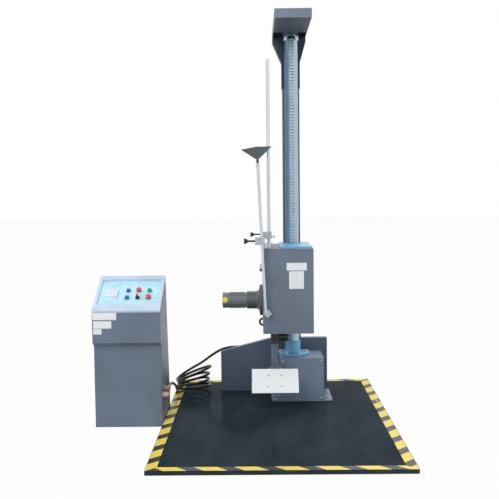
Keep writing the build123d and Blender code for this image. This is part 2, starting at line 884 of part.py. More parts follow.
# Gearbox: mounting flange, trumpet blend and ribbed body, turned about the drive axis
drive_axis = Axis((0, pinion_y, pinion_z), (1, 0, 0))
drive_section = Plane(origin=(carriage_left, pinion_y, pinion_z), x_dir=(-1, 0, 0), z_dir=(0, 1, 0))
blend_start = gearbox_flange_thickness
blend_foot_radius = gearbox_body_radius + gearbox_blend
with BuildPart() as gearbox:
    with BuildSketch(drive_section):
        with BuildLine():
            Polyline(
                (0, 0),
                (0, gearbox_flange_radius - 2),
                (2, gearbox_flange_radius),
                (blend_start - 2, gearbox_flange_radius),
                (blend_start, gearbox_flange_radius - 2),
                (blend_start, blend_foot_radius),
            )
            RadiusArc(
                (blend_start, blend_foot_radius),
                (blend_start + gearbox_blend, gearbox_body_radius),
                -gearbox_blend,
            )
            Polyline(
                (blend_start + gearbox_blend, gearbox_body_radius),
                (gearbox_length - 3, gearbox_body_radius),
                (gearbox_length, gearbox_body_radius - 3),
                (gearbox_length, 0),
                (0, 0),
            )
        make_face()
    revolve(axis=drive_axis)
    rib_pitch = (gearbox_length - blend_start - gearbox_blend) / gearbox_rib_count
    for rib in range(gearbox_rib_count):
        rib_x = carriage_left - blend_start - gearbox_blend - rib * rib_pitch
        with BuildSketch(Plane(origin=(rib_x, pinion_y, pinion_z), x_dir=(0, 1, 0), z_dir=(-1, 0, 0))):
            Circle(gearbox_body_radius + gearbox_rib_height)
        extrude(amount=gearbox_rib_width)
    with BuildSketch(Plane(origin=(carriage_left, pinion_y, pinion_z), x_dir=(0, 1, 0), z_dir=(-1, 0, 0))):
        Circle(shaft_radius + shaft_fit)
    extrude(amount=shaft_bore_depth, mode=Mode.SUBTRACT)
gearbox.part.label = "gearbox"
export_step(gearbox.part, "parts/gearbox.step")

# Hoist motor with lengthwise cooling fins, and its fan cover
motor_right = carriage_left - gearbox_length
with BuildPart() as hoist_motor:
    with BuildSketch(Plane(origin=(motor_right, pinion_y, pinion_z), x_dir=(0, 1, 0), z_dir=(-1, 0, 0))):
        Circle(motor_radius)
    extrude(amount=motor_length - fan_cover_length)
    fin_length = motor_length - fan_cover_length - 4 * motor_edge
    fin_start = motor_right - 2 * motor_edge
    with BuildSketch(Plane(origin=(fin_start, pinion_y, pinion_z), x_dir=(0, 1, 0), z_dir=(-1, 0, 0))):
        with PolarLocations(motor_radius, motor_fin_count):
            Rectangle(2 * motor_fin_height, motor_fin_width)
    extrude(amount=fin_length)
hoist_motor.part.label = "hoist_motor"
export_step(hoist_motor.part, "parts/hoist_motor.step")

fan_cover_right = motor_right - motor_length + fan_cover_length
with BuildPart() as fan_cover:
    with BuildSketch(Plane(origin=(fan_cover_right, pinion_y, pinion_z), x_dir=(0, 1, 0), z_dir=(-1, 0, 0))):
        Circle(motor_radius + 1)
    extrude(amount=fan_cover_length)
    fillet(fan_cover.faces().sort_by(Axis.X)[0].edges(), radius=motor_edge)
    with BuildSketch(Plane(origin=(fan_cover_right, pinion_y, pinion_z), x_dir=(0, 1, 0), z_dir=(-1, 0, 0))):
        Circle(motor_radius - 3)
    extrude(amount=fan_cover_length - 3, mode=Mode.SUBTRACT)
    grille_plane = Plane(
        origin=(fan_cover_right - fan_cover_length, pinion_y, pinion_z), x_dir=(0, 1, 0), z_dir=(-1, 0, 0)
    )
    with BuildSketch(grille_plane):
        for grille_radius in (14, 24):
            with PolarLocations(grille_radius, 6):
                SlotOverall(12, 3.5, rotation=90)
    extrude(amount=-4, mode=Mode.SUBTRACT)
fan_cover.part.label = "fan_cover"
export_step(fan_cover.part, "parts/fan_cover.step")

# Round hub caps of the upper roller axle, one on each side of the carriage
with BuildPart() as side_hubs:
    with BuildSketch(Plane(origin=(carriage_left, hub_y, hub_z), x_dir=(0, 1, 0), z_dir=(-1, 0, 0))):
        Circle(hub_radius)
    extrude(amount=hub_left_length)
    with BuildSketch(Plane(origin=(carriage_right, hub_y, hub_z), x_dir=(0, 1, 0), z_dir=(1, 0, 0))):
        Circle(hub_radius)
    extrude(amount=hub_right_length)
    fillet(
        side_hubs.faces().filter_by(Axis.X).sort_by(Axis.X)[0].edges()
        + side_hubs.faces().filter_by(Axis.X).sort_by(Axis.X)[-1].edges(),
        radius=3,
    )
side_hubs.part.label = "side_hubs"
export_step(side_hubs.part, "parts/side_hubs.step")

# Short motor lead that loops out of the carriage side and back in
with BuildPart() as motor_lead:
    lead_end = (carriage_left, lead_y, lead_z + lead_loop_radius)
    with BuildSketch(Plane(origin=lead_end, x_dir=(0, 1, 0), z_dir=(-1, 0, 0))):
        Circle(lead_radius)
    revolve(axis=Axis((carriage_left, lead_y, lead_z), (0, -1, 0)), revolution_arc=180)
motor_lead.part.label = "motor_lead"
export_step(motor_lead.part, "parts/motor_lead.step")

# Release head under the carriage: a clevis block and a round solenoid beside it
arm_left = arm_x - arm_width / 2
arm_right = arm_x + arm_width / 2
with BuildPart() as release_head:
    with BuildSketch(at_z(release_bottom)):
        with Locations((arm_x, hinge_y)):
            RectangleRounded(arm_width + 2, release_depth, 6)
    extrude(amount=release_height)
    solenoid_z = release_bottom + solenoid_radius + 8
    solenoid_start = arm_x + arm_width / 2 + 1
    with BuildSketch(Plane(origin=(arm_x, hinge_y, solenoid_z), x_dir=(0, 1, 0), z_dir=(1, 0, 0))):
        Circle(solenoid_radius)
    extrude(amount=solenoid_start - arm_x + solenoid_length)
    fillet(release_head.faces().sort_by(Axis.X)[-1].edges(), radius=4)
    with BuildSketch(at_z(solenoid_z)):
        with Locations((solenoid_start + solenoid_length / 2, hinge_y)):
            Rectangle(solenoid_length - 12, solenoid_radius)
    extrude(amount=carriage_bottom - solenoid_z)
release_head.part.label = "release_head"
export_step(release_head.part, "parts/release_head.step")

# Drop arm: a grooved bar that ends in the hinge eye
with BuildPart() as drop_arm:
    with BuildSketch(at_z(hinge_z)):
        with Locations((arm_x, hinge_y)):
            Rectangle(arm_width, arm_thickness)
            with Locations((0, -arm_thickness / 2)):
                Rectangle(arm_groove, arm_groove, mode=Mode.SUBTRACT)
    extrude(amount=release_bottom - hinge_z)
    with BuildSketch(at_x(arm_left)):
        with Locations((hinge_y, hinge_z)):
            Circle(arm_thickness / 2)
    extrude(amount=arm_width)
    with BuildSketch(at_x(arm_left)):
        with Locations((hinge_y, hinge_z)):
            Circle(hinge_pin_radius)
    extrude(amount=arm_width, mode=Mode.SUBTRACT)
drop_arm.part.label = "drop_arm"
export_step(drop_arm.part, "parts/drop_arm.step")

# Support plate, hanging from the hinge at its released tilt
tilt_cos = math.cos(math.radians(rest_tilt))
tilt_sin = math.sin(math.radians(rest_tilt))
support_plane = Plane(origin=(arm_x, hinge_y, hinge_z), x_dir=(1, 0, 0), z_dir=(0, -tilt_sin, tilt_cos))
support_middle = -support_back - support_length / 2
plate_screw_head = screw_head_radius - screw_radius
plate_screw_points = [
    (x, support_middle + y)
    for x in (-bracket_screw_x / 2, bracket_screw_x / 2)
    for y in (-bracket_screw_y / 2, bracket_screw_y / 2)
]
with BuildPart() as support_plate:
    with BuildSketch(support_plane.offset(support_lift)):
        with Locations((0, support_middle)):
            RectangleRounded(support_width, support_length, support_corner)
        with Locations(*plate_screw_points):
            Circle(screw_radius + screw_fit, mode=Mode.SUBTRACT)
    extrude(amount=support_thickness)
    with BuildSketch(support_plane.offset(support_lift + support_thickness - plate_screw_head)):
        with Locations(*plate_screw_points):
            Circle(screw_radius + screw_fit)
    extrude(amount=plate_screw_head, taper=-45, mode=Mode.SUBTRACT)
support_plate.part.label = "support_plate"
export_step(support_plate.part, "parts/support_plate.step")

# Bracket under the plate: base, two ears round the arm and a short nose
ear_inside = arm_width / 2 + ear_gap
with BuildPart() as plate_bracket:
    with BuildSketch(support_plane.offset(support_lift - bracket_base_thickness)):
        with Locations((0, support_middle)):
            Rectangle(bracket_base_width, bracket_screw_y + 24)
        nose_end = -support_back - support_length - nose_reach
        nose_start = support_middle
        with Locations((0, (nose_end + nose_start) / 2)):
            Rectangle(nose_width, nose_start - nose_end)
    extrude(amount=bracket_base_thickness)
    for ear_side in (-1, 1):
        ear_x = ear_side * (ear_inside + ear_thickness / 2) - ear_thickness / 2
        ear_plane = Plane(
            origin=support_plane.from_local_coords((ear_x, 0, 0)),
            x_dir=support_plane.from_local_coords((0, 1, 0)) - support_plane.origin,
            z_dir=(1, 0, 0),
        )
        with BuildSketch(ear_plane):
            Circle(hinge_eye_radius)
            with BuildLine():
                Polyline(
                    (0, -hinge_eye_radius),
                    (support_middle, support_lift - bracket_base_thickness),
                    (support_middle, support_lift),
                    (-support_back, support_lift),
                    (-support_back, hinge_eye_radius * 0.6),
                    (0, 0),
                    (0, -hinge_eye_radius),
                )
            make_face()
            Circle(hinge_pin_radius + hinge_pin_fit, mode=Mode.SUBTRACT)
        extrude(amount=ear_thickness)
    with BuildSketch(support_plane.offset(support_lift)):
        with Locations(*plate_screw_points):
            Circle(screw_radius + screw_fit)
    extrude(amount=-bracket_base_thickness, mode=Mode.SUBTRACT)
plate_bracket.part.label = "plate_bracket"
export_step(plate_bracket.part, "parts/plate_bracket.step")

# Countersunk screws that hold the plate to its bracket, a little below its face
screw_top = support_lift + support_thickness - screw_sink
with BuildPart() as plate_screws:
    with BuildSketch(support_plane.offset(screw_top - plate_screw_head + screw_sink)):
        with Locations(*plate_screw_points):
            Circle(screw_radius)
    extrude(amount=plate_screw_head - screw_sink, taper=-45)
    with BuildSketch(support_plane.offset(screw_top - plate_screw_head + screw_sink)):
        with Locations(*plate_screw_points):
            Circle(screw_radius)
    extrude(amount=plate_screw_head - support_thickness - bracket_base_thickness)
plate_screws.part.label = "plate_screws"
export_step(plate_screws.part, "parts/plate_screws.step")

# Hinge pin with a head at each end
pin_half = ear_inside + ear_thickness + knob_gap
with BuildPart() as hinge_pin:
    with BuildSketch(Plane(origin=(arm_x - pin_half, hinge_y, hinge_z), x_dir=(0, 1, 0), z_dir=(1, 0, 0))):
        Circle(hinge_pin_radius)
    extrude(amount=2 * pin_half)
    for head_start, head_way in ((arm_x - pin_half, -1), (arm_x + pin_half, 1)):
        with BuildSketch(Plane(origin=(head_start, hinge_y, hinge_z), x_dir=(0, 1, 0), z_dir=(head_way, 0, 0))):
            Circle(hinge_pin_radius + 2)
        extrude(amount=3)
hinge_pin.part.label = "hinge_pin"
export_step(hinge_pin.part, "parts/hinge_pin.step")

# Socket on the carriage roof and the stand rod in it
with BuildPart() as rod_socket:
    with BuildSketch(Plane(origin=(rod_x, rod_y, carriage_top))):
        Circle(socket_flange_radius)
    extrude(amount=socket_flange_height)
    with BuildSketch(Plane(origin=(rod_x, rod_y, carriage_top))):
        Circle(socket_radius)
    extrude(amount=socket_height)
    chamfer(rod_socket.faces().sort_by(Axis.Z)[-1].edges(), length=2)
    with BuildSketch(Plane(origin=(rod_x, rod_y, carriage_top + socket_floor))):
        Circle(rod_radius + knob_fit)
    extrude(amount=socket_height, mode=Mode.SUBTRACT)
rod_socket.part.label = "rod_socket"
export_step(rod_socket.part, "parts/rod_socket.step")

with BuildPart() as stand_rod:
    with BuildSketch(Plane(origin=(rod_x, rod_y, carriage_top + socket_floor))):
        Circle(rod_radius)
    extrude(amount=rod_top - carriage_top - socket_floor)
    chamfer(stand_rod.edges().filter_by(GeomType.CIRCLE).sort_by(Axis.Z)[-1], length=1.5)
stand_rod.part.label = "stand_rod"
export_step(stand_rod.part, "parts/stand_rod.step")

# Upper boss clamp with its cross rod to the front
clamp_x = (clamp_left + clamp_right) / 2
clamp_width = clamp_right - clamp_left
clamp_front = rod_y - clamp_depth / 2
with BuildPart() as upper_clamp:
    with BuildSketch(at_z(clamp_bottom)):
        with Locations((clamp_x, rod_y)):
            Rectangle(clamp_width, clamp_depth)
    extrude(amount=clamp_height)
    fillet(upper_clamp.edges().filter_by(Axis.Z), radius=clamp_edge)
    with BuildSketch(Plane(origin=(cross_rod_x, clamp_front, cross_rod_z), x_dir=(1, 0, 0), z_dir=(0, 1, 0))):
        Circle(cross_boss_radius)
    extrude(amount=clamp_depth)
    with BuildSketch(Plane(origin=(rod_x, rod_y, clamp_bottom))):
        Circle(rod_radius + rod_slide_fit)
    extrude(amount=clamp_height, mode=Mode.SUBTRACT)
    with BuildSketch(Plane(origin=(clamp_left, rod_y, knob_z), x_dir=(0, 1, 0), z_dir=(1, 0, 0))):
        Circle(knob_shaft_radius + knob_fit)
    extrude(amount=rod_x - clamp_left, mode=Mode.SUBTRACT)
    with BuildSketch(Plane(origin=(clamp_right, rod_y, thumb_z), x_dir=(0, 1, 0), z_dir=(-1, 0, 0))):
        Circle(thumb_shaft_radius + knob_fit)
    extrude(amount=clamp_right - rod_x, mode=Mode.SUBTRACT)
    with BuildSketch(Plane(origin=(cross_rod_x, cross_rod_end, cross_rod_z), x_dir=(1, 0, 0), z_dir=(0, 1, 0))):
        Circle(cross_rod_radius)
    extrude(amount=rod_y - cross_rod_end)
upper_clamp.part.label = "upper_clamp"
export_step(upper_clamp.part, "parts/upper_clamp.step")

# Cone knobs and the thumb screw, each turned about its own screw axis
knob_axis = Axis((clamp_left, rod_y, knob_z), (1, 0, 0))
knob_tip = rod_x - rod_radius - knob_gap
with BuildPart() as upper_knob:
    with BuildSketch(Plane(origin=(clamp_left, rod_y, knob_z), x_dir=(-1, 0, 0), z_dir=(0, 1, 0))):
        with BuildLine():
            Polyline(
                (clamp_left - knob_tip, 0),
                (clamp_left - knob_tip, knob_shaft_radius),
                (knob_neck, knob_shaft_radius),
                (knob_neck, knob_small_radius),
                (knob_neck + knob_head_length - 3, knob_large_radius),
                (knob_neck + knob_head_length, knob_large_radius - 1.5),
                (knob_neck + knob_head_length, 0),
                close=True,
            )
        make_face()
    revolve(axis=knob_axis)
upper_knob.part.label = "upper_knob"
export_step(upper_knob.part, "parts/upper_knob.step")

thumb_axis = Axis((clamp_right, rod_y, thumb_z), (1, 0, 0))
thumb_tip = rod_x + rod_radius + knob_gap
with BuildPart() as thumb_screw:
    with BuildSketch(Plane(origin=(clamp_right, rod_y, thumb_z), x_dir=(1, 0, 0), z_dir=(0, -1, 0))):
        with BuildLine():
            Polyline(
                (thumb_tip - clamp_right, 0),
                (thumb_tip - clamp_right, thumb_shaft_radius),
                (thumb_neck, thumb_shaft_radius),
                (thumb_neck, thumb_head_radius - 1),
                (thumb_neck + 1, thumb_head_radius),
                (thumb_neck + thumb_head_length - 1, thumb_head_radius),
                (thumb_neck + thumb_head_length, thumb_head_radius - 1),
                (thumb_neck + thumb_head_length, 0),
                close=True,
            )
        make_face()
    revolve(axis=thumb_axis)
thumb_screw.part.label = "thumb_screw"
export_step(thumb_screw.part, "parts/thumb_screw.step")

# Lower boss clamp on the end of the cross rod
lean_sin = math.sin(math.radians(lean_angle))
lean_cos = math.cos(math.radians(lean_angle))
lean_way = Vector(-lean_sin, 0, lean_cos)
lean_middle = Vector(lean_x, lean_y, lean_z)
lean_side = Vector(lean_cos, 0, lean_sin)


def lean_plane(distance):
    return Plane(origin=lean_middle + lean_way * distance, x_dir=lean_side, z_dir=lean_way)


lower_clamp_x = (lower_clamp_left + lower_clamp_right) / 2
lower_clamp_y = (lower_clamp_front + lower_clamp_back) / 2
with BuildPart() as lower_clamp:
    with BuildSketch(at_z(lower_clamp_bottom)):
        with Locations((lower_clamp_x, lower_clamp_y)):
            Rectangle(lower_clamp_right - lower_clamp_left, lower_clamp_back - lower_clamp_front)
    extrude(amount=lower_clamp_height)
    fillet(lower_clamp.edges().filter_by(Axis.Z), radius=clamp_edge)
    with BuildSketch(lean_plane(-lower_clamp_height)):
        Circle(lean_radius + rod_slide_fit)
    extrude(amount=2 * lower_clamp_height, mode=Mode.SUBTRACT)
    with BuildSketch(
        Plane(origin=(cross_rod_x, lower_clamp_back, cross_rod_z), x_dir=(1, 0, 0), z_dir=(0, -1, 0))
    ):
        Circle(cross_rod_radius + rod_slide_fit)
    extrude(amount=lower_clamp_back - cross_rod_end + 1, mode=Mode.SUBTRACT)
    with BuildSketch(Plane(origin=(lower_clamp_left, lean_y, lean_z), x_dir=(0, 1, 0), z_dir=(1, 0, 0))):
        Circle(lower_knob_shaft_radius + knob_fit)
    extrude(amount=lean_x - lower_clamp_left, mode=Mode.SUBTRACT)
lower_clamp.part.label = "lower_clamp"
export_step(lower_clamp.part, "parts/lower_clamp.step")

lower_knob_axis = Axis((lower_clamp_left, lean_y, lean_z), (1, 0, 0))
lower_knob_tip = lean_x - lean_radius - knob_rod_gap
with BuildPart() as lower_knob:
    with BuildSketch(Plane(origin=(lower_clamp_left, lean_y, lean_z), x_dir=(-1, 0, 0), z_dir=(0, 1, 0))):
        with BuildLine():
            Polyline(
                (lower_clamp_left - lower_knob_tip, 0),
                (lower_clamp_left - lower_knob_tip, lower_knob_shaft_radius),
                (lower_knob_neck, lower_knob_shaft_radius),
                (lower_knob_neck, lower_knob_small_radius),
                (lower_knob_neck + lower_knob_head_length - 3, lower_knob_large_radius),
                (lower_knob_neck + lower_knob_head_length, lower_knob_large_radius - 1.5),
                (lower_knob_neck + lower_knob_head_length, 0),
                close=True,
            )
        make_face()
    revolve(axis=lower_knob_axis)
lower_knob.part.label = "lower_knob"
export_step(lower_knob.part, "parts/lower_knob.step")

# Leaning rod, thicker at its head, with a blind hole for the cup's pin
with BuildPart() as leaning_rod:
    with BuildSketch(lean_plane(-lean_below)):
        Circle(lean_radius)
    extrude(amount=lean_below + lean_above)
    with BuildSketch(lean_plane(lean_above)):
        Circle(lean_head_radius)
    extrude(amount=-lean_head_length)
    chamfer(leaning_rod.edges().filter_by(GeomType.CIRCLE).group_by(Axis.Z)[-1], length=1)
    with BuildSketch(lean_plane(lean_above)):
        Circle(cup_pin_radius + shaft_fit)
    extrude(amount=-cup_pin_length - 1, mode=Mode.SUBTRACT)
leaning_rod.part.label = "leaning_rod"
export_step(leaning_rod.part, "parts/leaning_rod.step")

# Square end pad, turned on its corner and notched round the rod's lower end
pad_centre = lean_middle - lean_way * (lean_below + pad_drop - pad_size / 2) + lean_side * pad_shift
pad_cos = math.cos(math.radians(pad_turn))
pad_sin = math.sin(math.radians(pad_turn))
pad_plane = Plane(
    origin=(pad_centre.X, lean_y + pad_thickness / 2, pad_centre.Z),
    x_dir=(pad_cos, 0, pad_sin),
    z_dir=(0, -1, 0),
)
with BuildPart() as rod_end_pad:
    with BuildSketch(pad_plane):
        RectangleRounded(pad_size, pad_size, 2)
    extrude(amount=pad_thickness)
    with BuildSketch(lean_plane(-lean_below)):
        Circle(lean_radius)
    extrude(amount=pad_size, mode=Mode.SUBTRACT)
rod_end_pad.part.label = "rod_end_pad"
export_step(rod_end_pad.part, "parts/rod_end_pad.step")

# Corner cup: the corner of a thin walled cube, cut off square to its diagonal
cup_apex = lean_middle + lean_way * (lean_above + cup_neck_length)
cup_turn = Axis((0, 0, 0), (0, -1, 0))
cup_axis = Vector(0, 0, 1).rotate(cup_turn, cup_tilt)


def cup_edge(heading):
    flat = math.sqrt(2 / 3)
    level = Vector(flat * math.cos(math.radians(heading)), flat * math.sin(math.radians(heading)), math.sqrt(1 / 3))
    return level.rotate(cup_turn, cup_tilt)


edge_front = cup_edge(-90)
edge_right = cup_edge(30)
edge_left = cup_edge(150)
rim_plane = Plane(origin=cup_apex + cup_axis * (cup_leg / math.sqrt(3)), z_dir=cup_axis)
with BuildPart() as corner_cup:
    with BuildSketch(Plane(origin=cup_apex, x_dir=edge_front, z_dir=edge_left)):
        with Locations((cup_leg / 2, cup_leg / 2)):
            Rectangle(cup_leg, cup_leg)
    extrude(amount=cup_leg)
    inner_corner = cup_apex + (edge_front + edge_right + edge_left) * cup_wall
    with BuildSketch(Plane(origin=inner_corner, x_dir=edge_front, z_dir=edge_left)):
        with Locations((cup_leg / 2, cup_leg / 2)):
            Rectangle(cup_leg, cup_leg)
    extrude(amount=cup_leg, mode=Mode.SUBTRACT)
    split(bisect_by=rim_plane, keep=Keep.BOTTOM)
    with BuildSketch(lean_plane(lean_above + knob_gap)):
        Circle(cup_neck_radius)
    extrude(amount=cup_neck_length + 3)
    with BuildSketch(lean_plane(lean_above + knob_gap)):
        Circle(cup_pin_radius)
    extrude(amount=-cup_pin_length)
corner_cup.part.label = "corner_cup"
export_step(corner_cup.part, "parts/corner_cup.step")

# Sloped work plane of the console, its local y running up the slope
slope_cos = math.cos(math.radians(fascia_slope))
slope_sin = math.sin(math.radians(fascia_slope))
fascia_plane = Plane(
    origin=(console_x, fascia_front, fascia_z), x_dir=(1, 0, 0), z_dir=(0, -slope_sin, slope_cos)
)
fascia_axis = Axis(fascia_plane.origin, fascia_plane.z_dir)
panel_depth = fascia_thickness + control_sheet
under_origin = fascia_plane.from_local_coords((0, 0, -panel_depth))
front_shift = (console_upper_front - under_origin.Y) / slope_cos
under_front_point = fascia_plane.from_local_coords((0, front_shift, -panel_depth))
under_back_point = fascia_plane.from_local_coords((0, fascia_length - fascia_overlap, -panel_depth))
console_outline = [
    (console_lower_front, 0),
    (console_lower_front, console_step_low),
    (console_upper_front, console_step_high),
    (console_upper_front, under_front_point.Z),
    (under_back_point.Y, under_back_point.Z),
    (console_foot_back, 0),
]
rake_low = Vector(0, console_foot_back, 0)
rake_high = Vector(0, under_back_point.Y, under_back_point.Z)
rake_way = (rake_high - rake_low).normalized()
rake_length = (rake_high - rake_low).length
back_plane = Plane(
    origin=(console_x, console_foot_back, 0), x_dir=(-1, 0, 0), z_dir=Vector(-1, 0, 0).cross(rake_way)
)
back_panel_length = rake_length - 2 * back_panel_margin
with BuildPart() as console_cabinet:
    with BuildSketch(at_x(console_left)):
        with BuildLine():
            Polyline(*console_outline, close=True)
        make_face()
    extrude(amount=console_width)
    fillet(
        console_cabinet.edges().filter_by(Axis.Z).filter_by_position(Axis.Z, console_sheet, fascia_z),
        radius=console_corner,
    )
    with BuildSketch(at_x(console_left + console_sheet)):
        with BuildLine():
            Polyline(*console_outline, close=True)
        make_face()
        offset(amount=-console_sheet, mode=Mode.REPLACE)
    extrude(amount=console_width - 2 * console_sheet, mode=Mode.SUBTRACT)
    with BuildSketch(fascia_plane.offset(-panel_depth)):
        with Locations((0, fascia_length / 2)):
            Rectangle(2 * window_half, window_high - window_low)
    extrude(amount=-2 * console_sheet, mode=Mode.SUBTRACT)
    with BuildSketch(back_plane):
        with Locations((0, rake_length / 2)):
            Rectangle(back_panel_width - 2 * back_panel_lap, back_panel_length - 2 * back_panel_lap)
    extrude(amount=-2 * console_sheet, mode=Mode.SUBTRACT)
console_cabinet.part.label = "console_cabinet"
export_step(console_cabinet.part, "parts/console_cabinet.step")

# Removable back panel of the console
with BuildPart() as console_back:
    with BuildSketch(back_plane):
        with Locations((0, rake_length / 2)):
            RectangleRounded(back_panel_width, back_panel_length, back_panel_corner)
    extrude(amount=console_sheet)
console_back.part.label = "console_back"
export_step(console_back.part, "parts/console_back.step")

# Control panel sheet with its stem holes
control_points = [(x, y) for y in row_places for x in column_places]
with BuildPart() as control_panel:
    with BuildSketch(fascia_plane.offset(-panel_depth)):
        with Locations((0, fascia_length / 2)):
            Rectangle(console_width - 2 * control_margin, fascia_length - 2 * control_margin)
        with Locations(*control_points):
            Circle(stem_radius + stem_fit, mode=Mode.SUBTRACT)
    extrude(amount=control_sheet)
control_panel.part.label = "control_panel"
export_step(control_panel.part, "parts/control_panel.step")

# Raised frame round the control panel
with BuildPart() as console_fascia:
    with BuildSketch(fascia_plane.offset(-fascia_thickness)):
        with Locations((0, fascia_length / 2)):
            RectangleRounded(console_width, fascia_length, fascia_corner)
        with Locations((0, (window_low + window_high) / 2)):
            RectangleRounded(2 * window_half, window_high - window_low, fascia_corner, mode=Mode.SUBTRACT)
    extrude(amount=fascia_thickness)
    chamfer(console_fascia.faces().sort_by(Axis.Z)[-1].edges(), length=1)
console_fascia.part.label = "console_fascia"
export_step(console_fascia.part, "parts/console_fascia.step")

# Panel meter that shows the drop height
control_face = fascia_plane.offset(-fascia_thickness)
with BuildPart() as height_meter:
    with BuildSketch(control_face):
        with Locations(meter_place):
            RectangleRounded(meter_size, meter_size, 3)
    extrude(amount=meter_height)
    with BuildSketch(control_face.offset(meter_height)):
        with Locations(meter_place):
            Rectangle(meter_size - 2 * meter_border, meter_size / 2)
    extrude(amount=-meter_recess, mode=Mode.SUBTRACT)
height_meter.part.label = "height_meter"
export_step(height_meter.part, "parts/height_meter.step")

# Bezel rings of the six controls
with BuildPart() as control_bezels:
    with BuildSketch(control_face):
        with Locations(*control_points):
            Circle(bezel_radius)
            Circle(cap_radius + cap_fit, mode=Mode.SUBTRACT)
    extrude(amount=bezel_height)
control_bezels.part.label = "control_bezels"
export_step(control_bezels.part, "parts/control_bezels.step")


def push_button(place, head_radius, head_height):
    with BuildPart() as button:
        with BuildSketch(control_face.offset(button_travel + 1)):
            with Locations(place):
                Circle(cap_radius)
        extrude(amount=cap_height)
        with BuildSketch(control_face.offset(button_travel + 1 + cap_height)):
            with Locations(place):
                Circle(head_radius)
        extrude(amount=head_height)
        fillet(button.faces().sort_by(fascia_axis)[-1].edges(), radius=1.5)
        with BuildSketch(control_face.offset(button_travel + 1)):
            with Locations(place):
                Circle(stem_radius)
        extrude(amount=-stem_length)
    return button


# Five push buttons: three plain caps above and below, two red mushroom heads
top_row = row_places[1]
low_row = row_places[0]
power_button = push_button((column_places[0], top_row), cap_radius - 1, 1.8)
power_button.part.label = "power_button"
export_step(power_button.part, "parts/power_button.step")

stop_button = push_button((column_places[1], top_row), mushroom_radius, mushroom_height)
stop_button.part.label = "stop_button"
export_step(stop_button.part, "parts/stop_button.step")

up_button = push_button((column_places[2], top_row), cap_radius - 1, 1.8)
up_button.part.label = "up_button"
export_step(up_button.part, "parts/up_button.step")

down_button = push_button((column_places[0], low_row), cap_radius - 1, 1.8)
down_button.part.label = "down_button"
export_step(down_button.part, "parts/down_button.step")

drop_button = push_button((column_places[2], low_row), mushroom_radius, mushroom_height)
drop_button.part.label = "drop_button"
export_step(drop_button.part, "parts/drop_button.step")

# Selector switch with a raised grip
with BuildPart() as mode_selector:
    with BuildSketch(control_face.offset(1)):
        with Locations((column_places[1], low_row)):
            Circle(cap_radius)
    extrude(amount=cap_height)
    with BuildSketch(control_face.offset(1 + cap_height)):
        with Locations((column_places[1], low_row)):
            SlotOverall(selector_length, selector_width, rotation=120)
    extrude(amount=selector_height)
    fillet(mode_selector.faces().sort_by(fascia_axis)[-1].edges(), radius=1.5)
    with BuildSketch(control_face.offset(1)):
        with Locations((column_places[1], low_row)):
            Circle(stem_radius)
    extrude(amount=-stem_length)
mode_selector.part.label = "mode_selector"
export_step(mode_selector.part, "parts/mode_selector.step")

# Two round sockets on the right side of the console, the front one closed by a cap
with BuildPart() as side_sockets:
    with BuildSketch(at_x(console_right)):
        with Locations(*socket_places):
            Circle(socket_flange_side)
    extrude(amount=socket_flange_depth)
    with BuildSketch(at_x(console_right)):
        with Locations(*socket_places):
            Circle(side_socket_radius)
    extrude(amount=side_socket_length)
    with BuildSketch(at_x(console_right + side_socket_length)):
        with Locations(socket_places[1]):
            Circle(side_socket_radius - 1)
    extrude(amount=plug_length)
    fillet(side_sockets.faces().sort_by(Axis.X)[-1].edges(), radius=3)
side_sockets.part.label = "side_sockets"
export_step(side_sockets.part, "parts/side_sockets.step")

# Elbow plug of the cable in the rear socket, its outlet to the back
plug_y, plug_z = socket_places[0]
plug_x = console_right + side_socket_length + plug_length / 2
with BuildPart() as cable_plug:
    with BuildSketch(at_x(console_right + side_socket_length)):
        with Locations((plug_y, plug_z)):
            Circle(side_socket_radius - 1)
    extrude(amount=plug_length)
    fillet(cable_plug.faces().sort_by(Axis.X)[-1].edges(), radius=3)
    with BuildSketch(Plane(origin=(plug_x, plug_y, plug_z), x_dir=(1, 0, 0), z_dir=(0, 1, 0))):
        Circle(gland_tip_radius)
    extrude(amount=plug_reach)
cable_plug.part.label = "cable_plug"
export_step(cable_plug.part, "parts/cable_plug.step")

# Terminal box behind the rear panel with a moulded cable entry
with BuildPart() as terminal_box:
    terminal_front = panel_front + panel_sheet
    with BuildSketch(at_z(terminal_bottom)):
        with Locations(((terminal_left + terminal_right) / 2, (terminal_front + terminal_back) / 2)):
            Rectangle(terminal_right - terminal_left, terminal_back - terminal_front)
    extrude(amount=terminal_top - terminal_bottom)
    fillet(terminal_box.faces().sort_by(Axis.Y)[-1].edges(), radius=4)
    with BuildSketch(Plane(origin=(terminal_left, gland_y, gland_z), x_dir=(-1, 0, 0), z_dir=(0, 1, 0))):
        with BuildLine():
            Polyline(
                (-5, 0),
                (-5, gland_root_radius),
                (8, gland_root_radius),
                (gland_length, gland_tip_radius),
                (gland_length, 0),
                close=True,
            )
        make_face()
    revolve(axis=Axis((terminal_left, gland_y, gland_z), (1, 0, 0)))
terminal_box.part.label = "terminal_box"
export_step(terminal_box.part, "parts/terminal_box.step")

# Cable routes: points chosen by hand, joined by tangent arcs
upper_route = [
    (terminal_left - gland_length, gland_y, gland_z),
    (-268, gland_y, gland_z),
    (-340, 633, 258),
    (-398, 628, 206),
    (-424, 620, 142),
    (-438, 610, 92),
]
tail_route = [
    (plug_x, plug_y + plug_reach, plug_z),
    (plug_x, 120, plug_z),
    (plug_x, 240, 148),
    (plug_x - 4, 360, 112),
    (plug_x - 2, 470, 74),
    (plug_x + 16, 562, 54),
]


def corner_radii(route):
    points = [Vector(*point) for point in route]
    radii = []
    for before, corner, after in zip(points, points[1:], points[2:]):
        first = corner - before
        second = after - corner
        turn = math.radians(first.get_angle(second))
        radii.append(0.45 * min(first.length, second.length) / math.tan(turn / 2))
    return radii


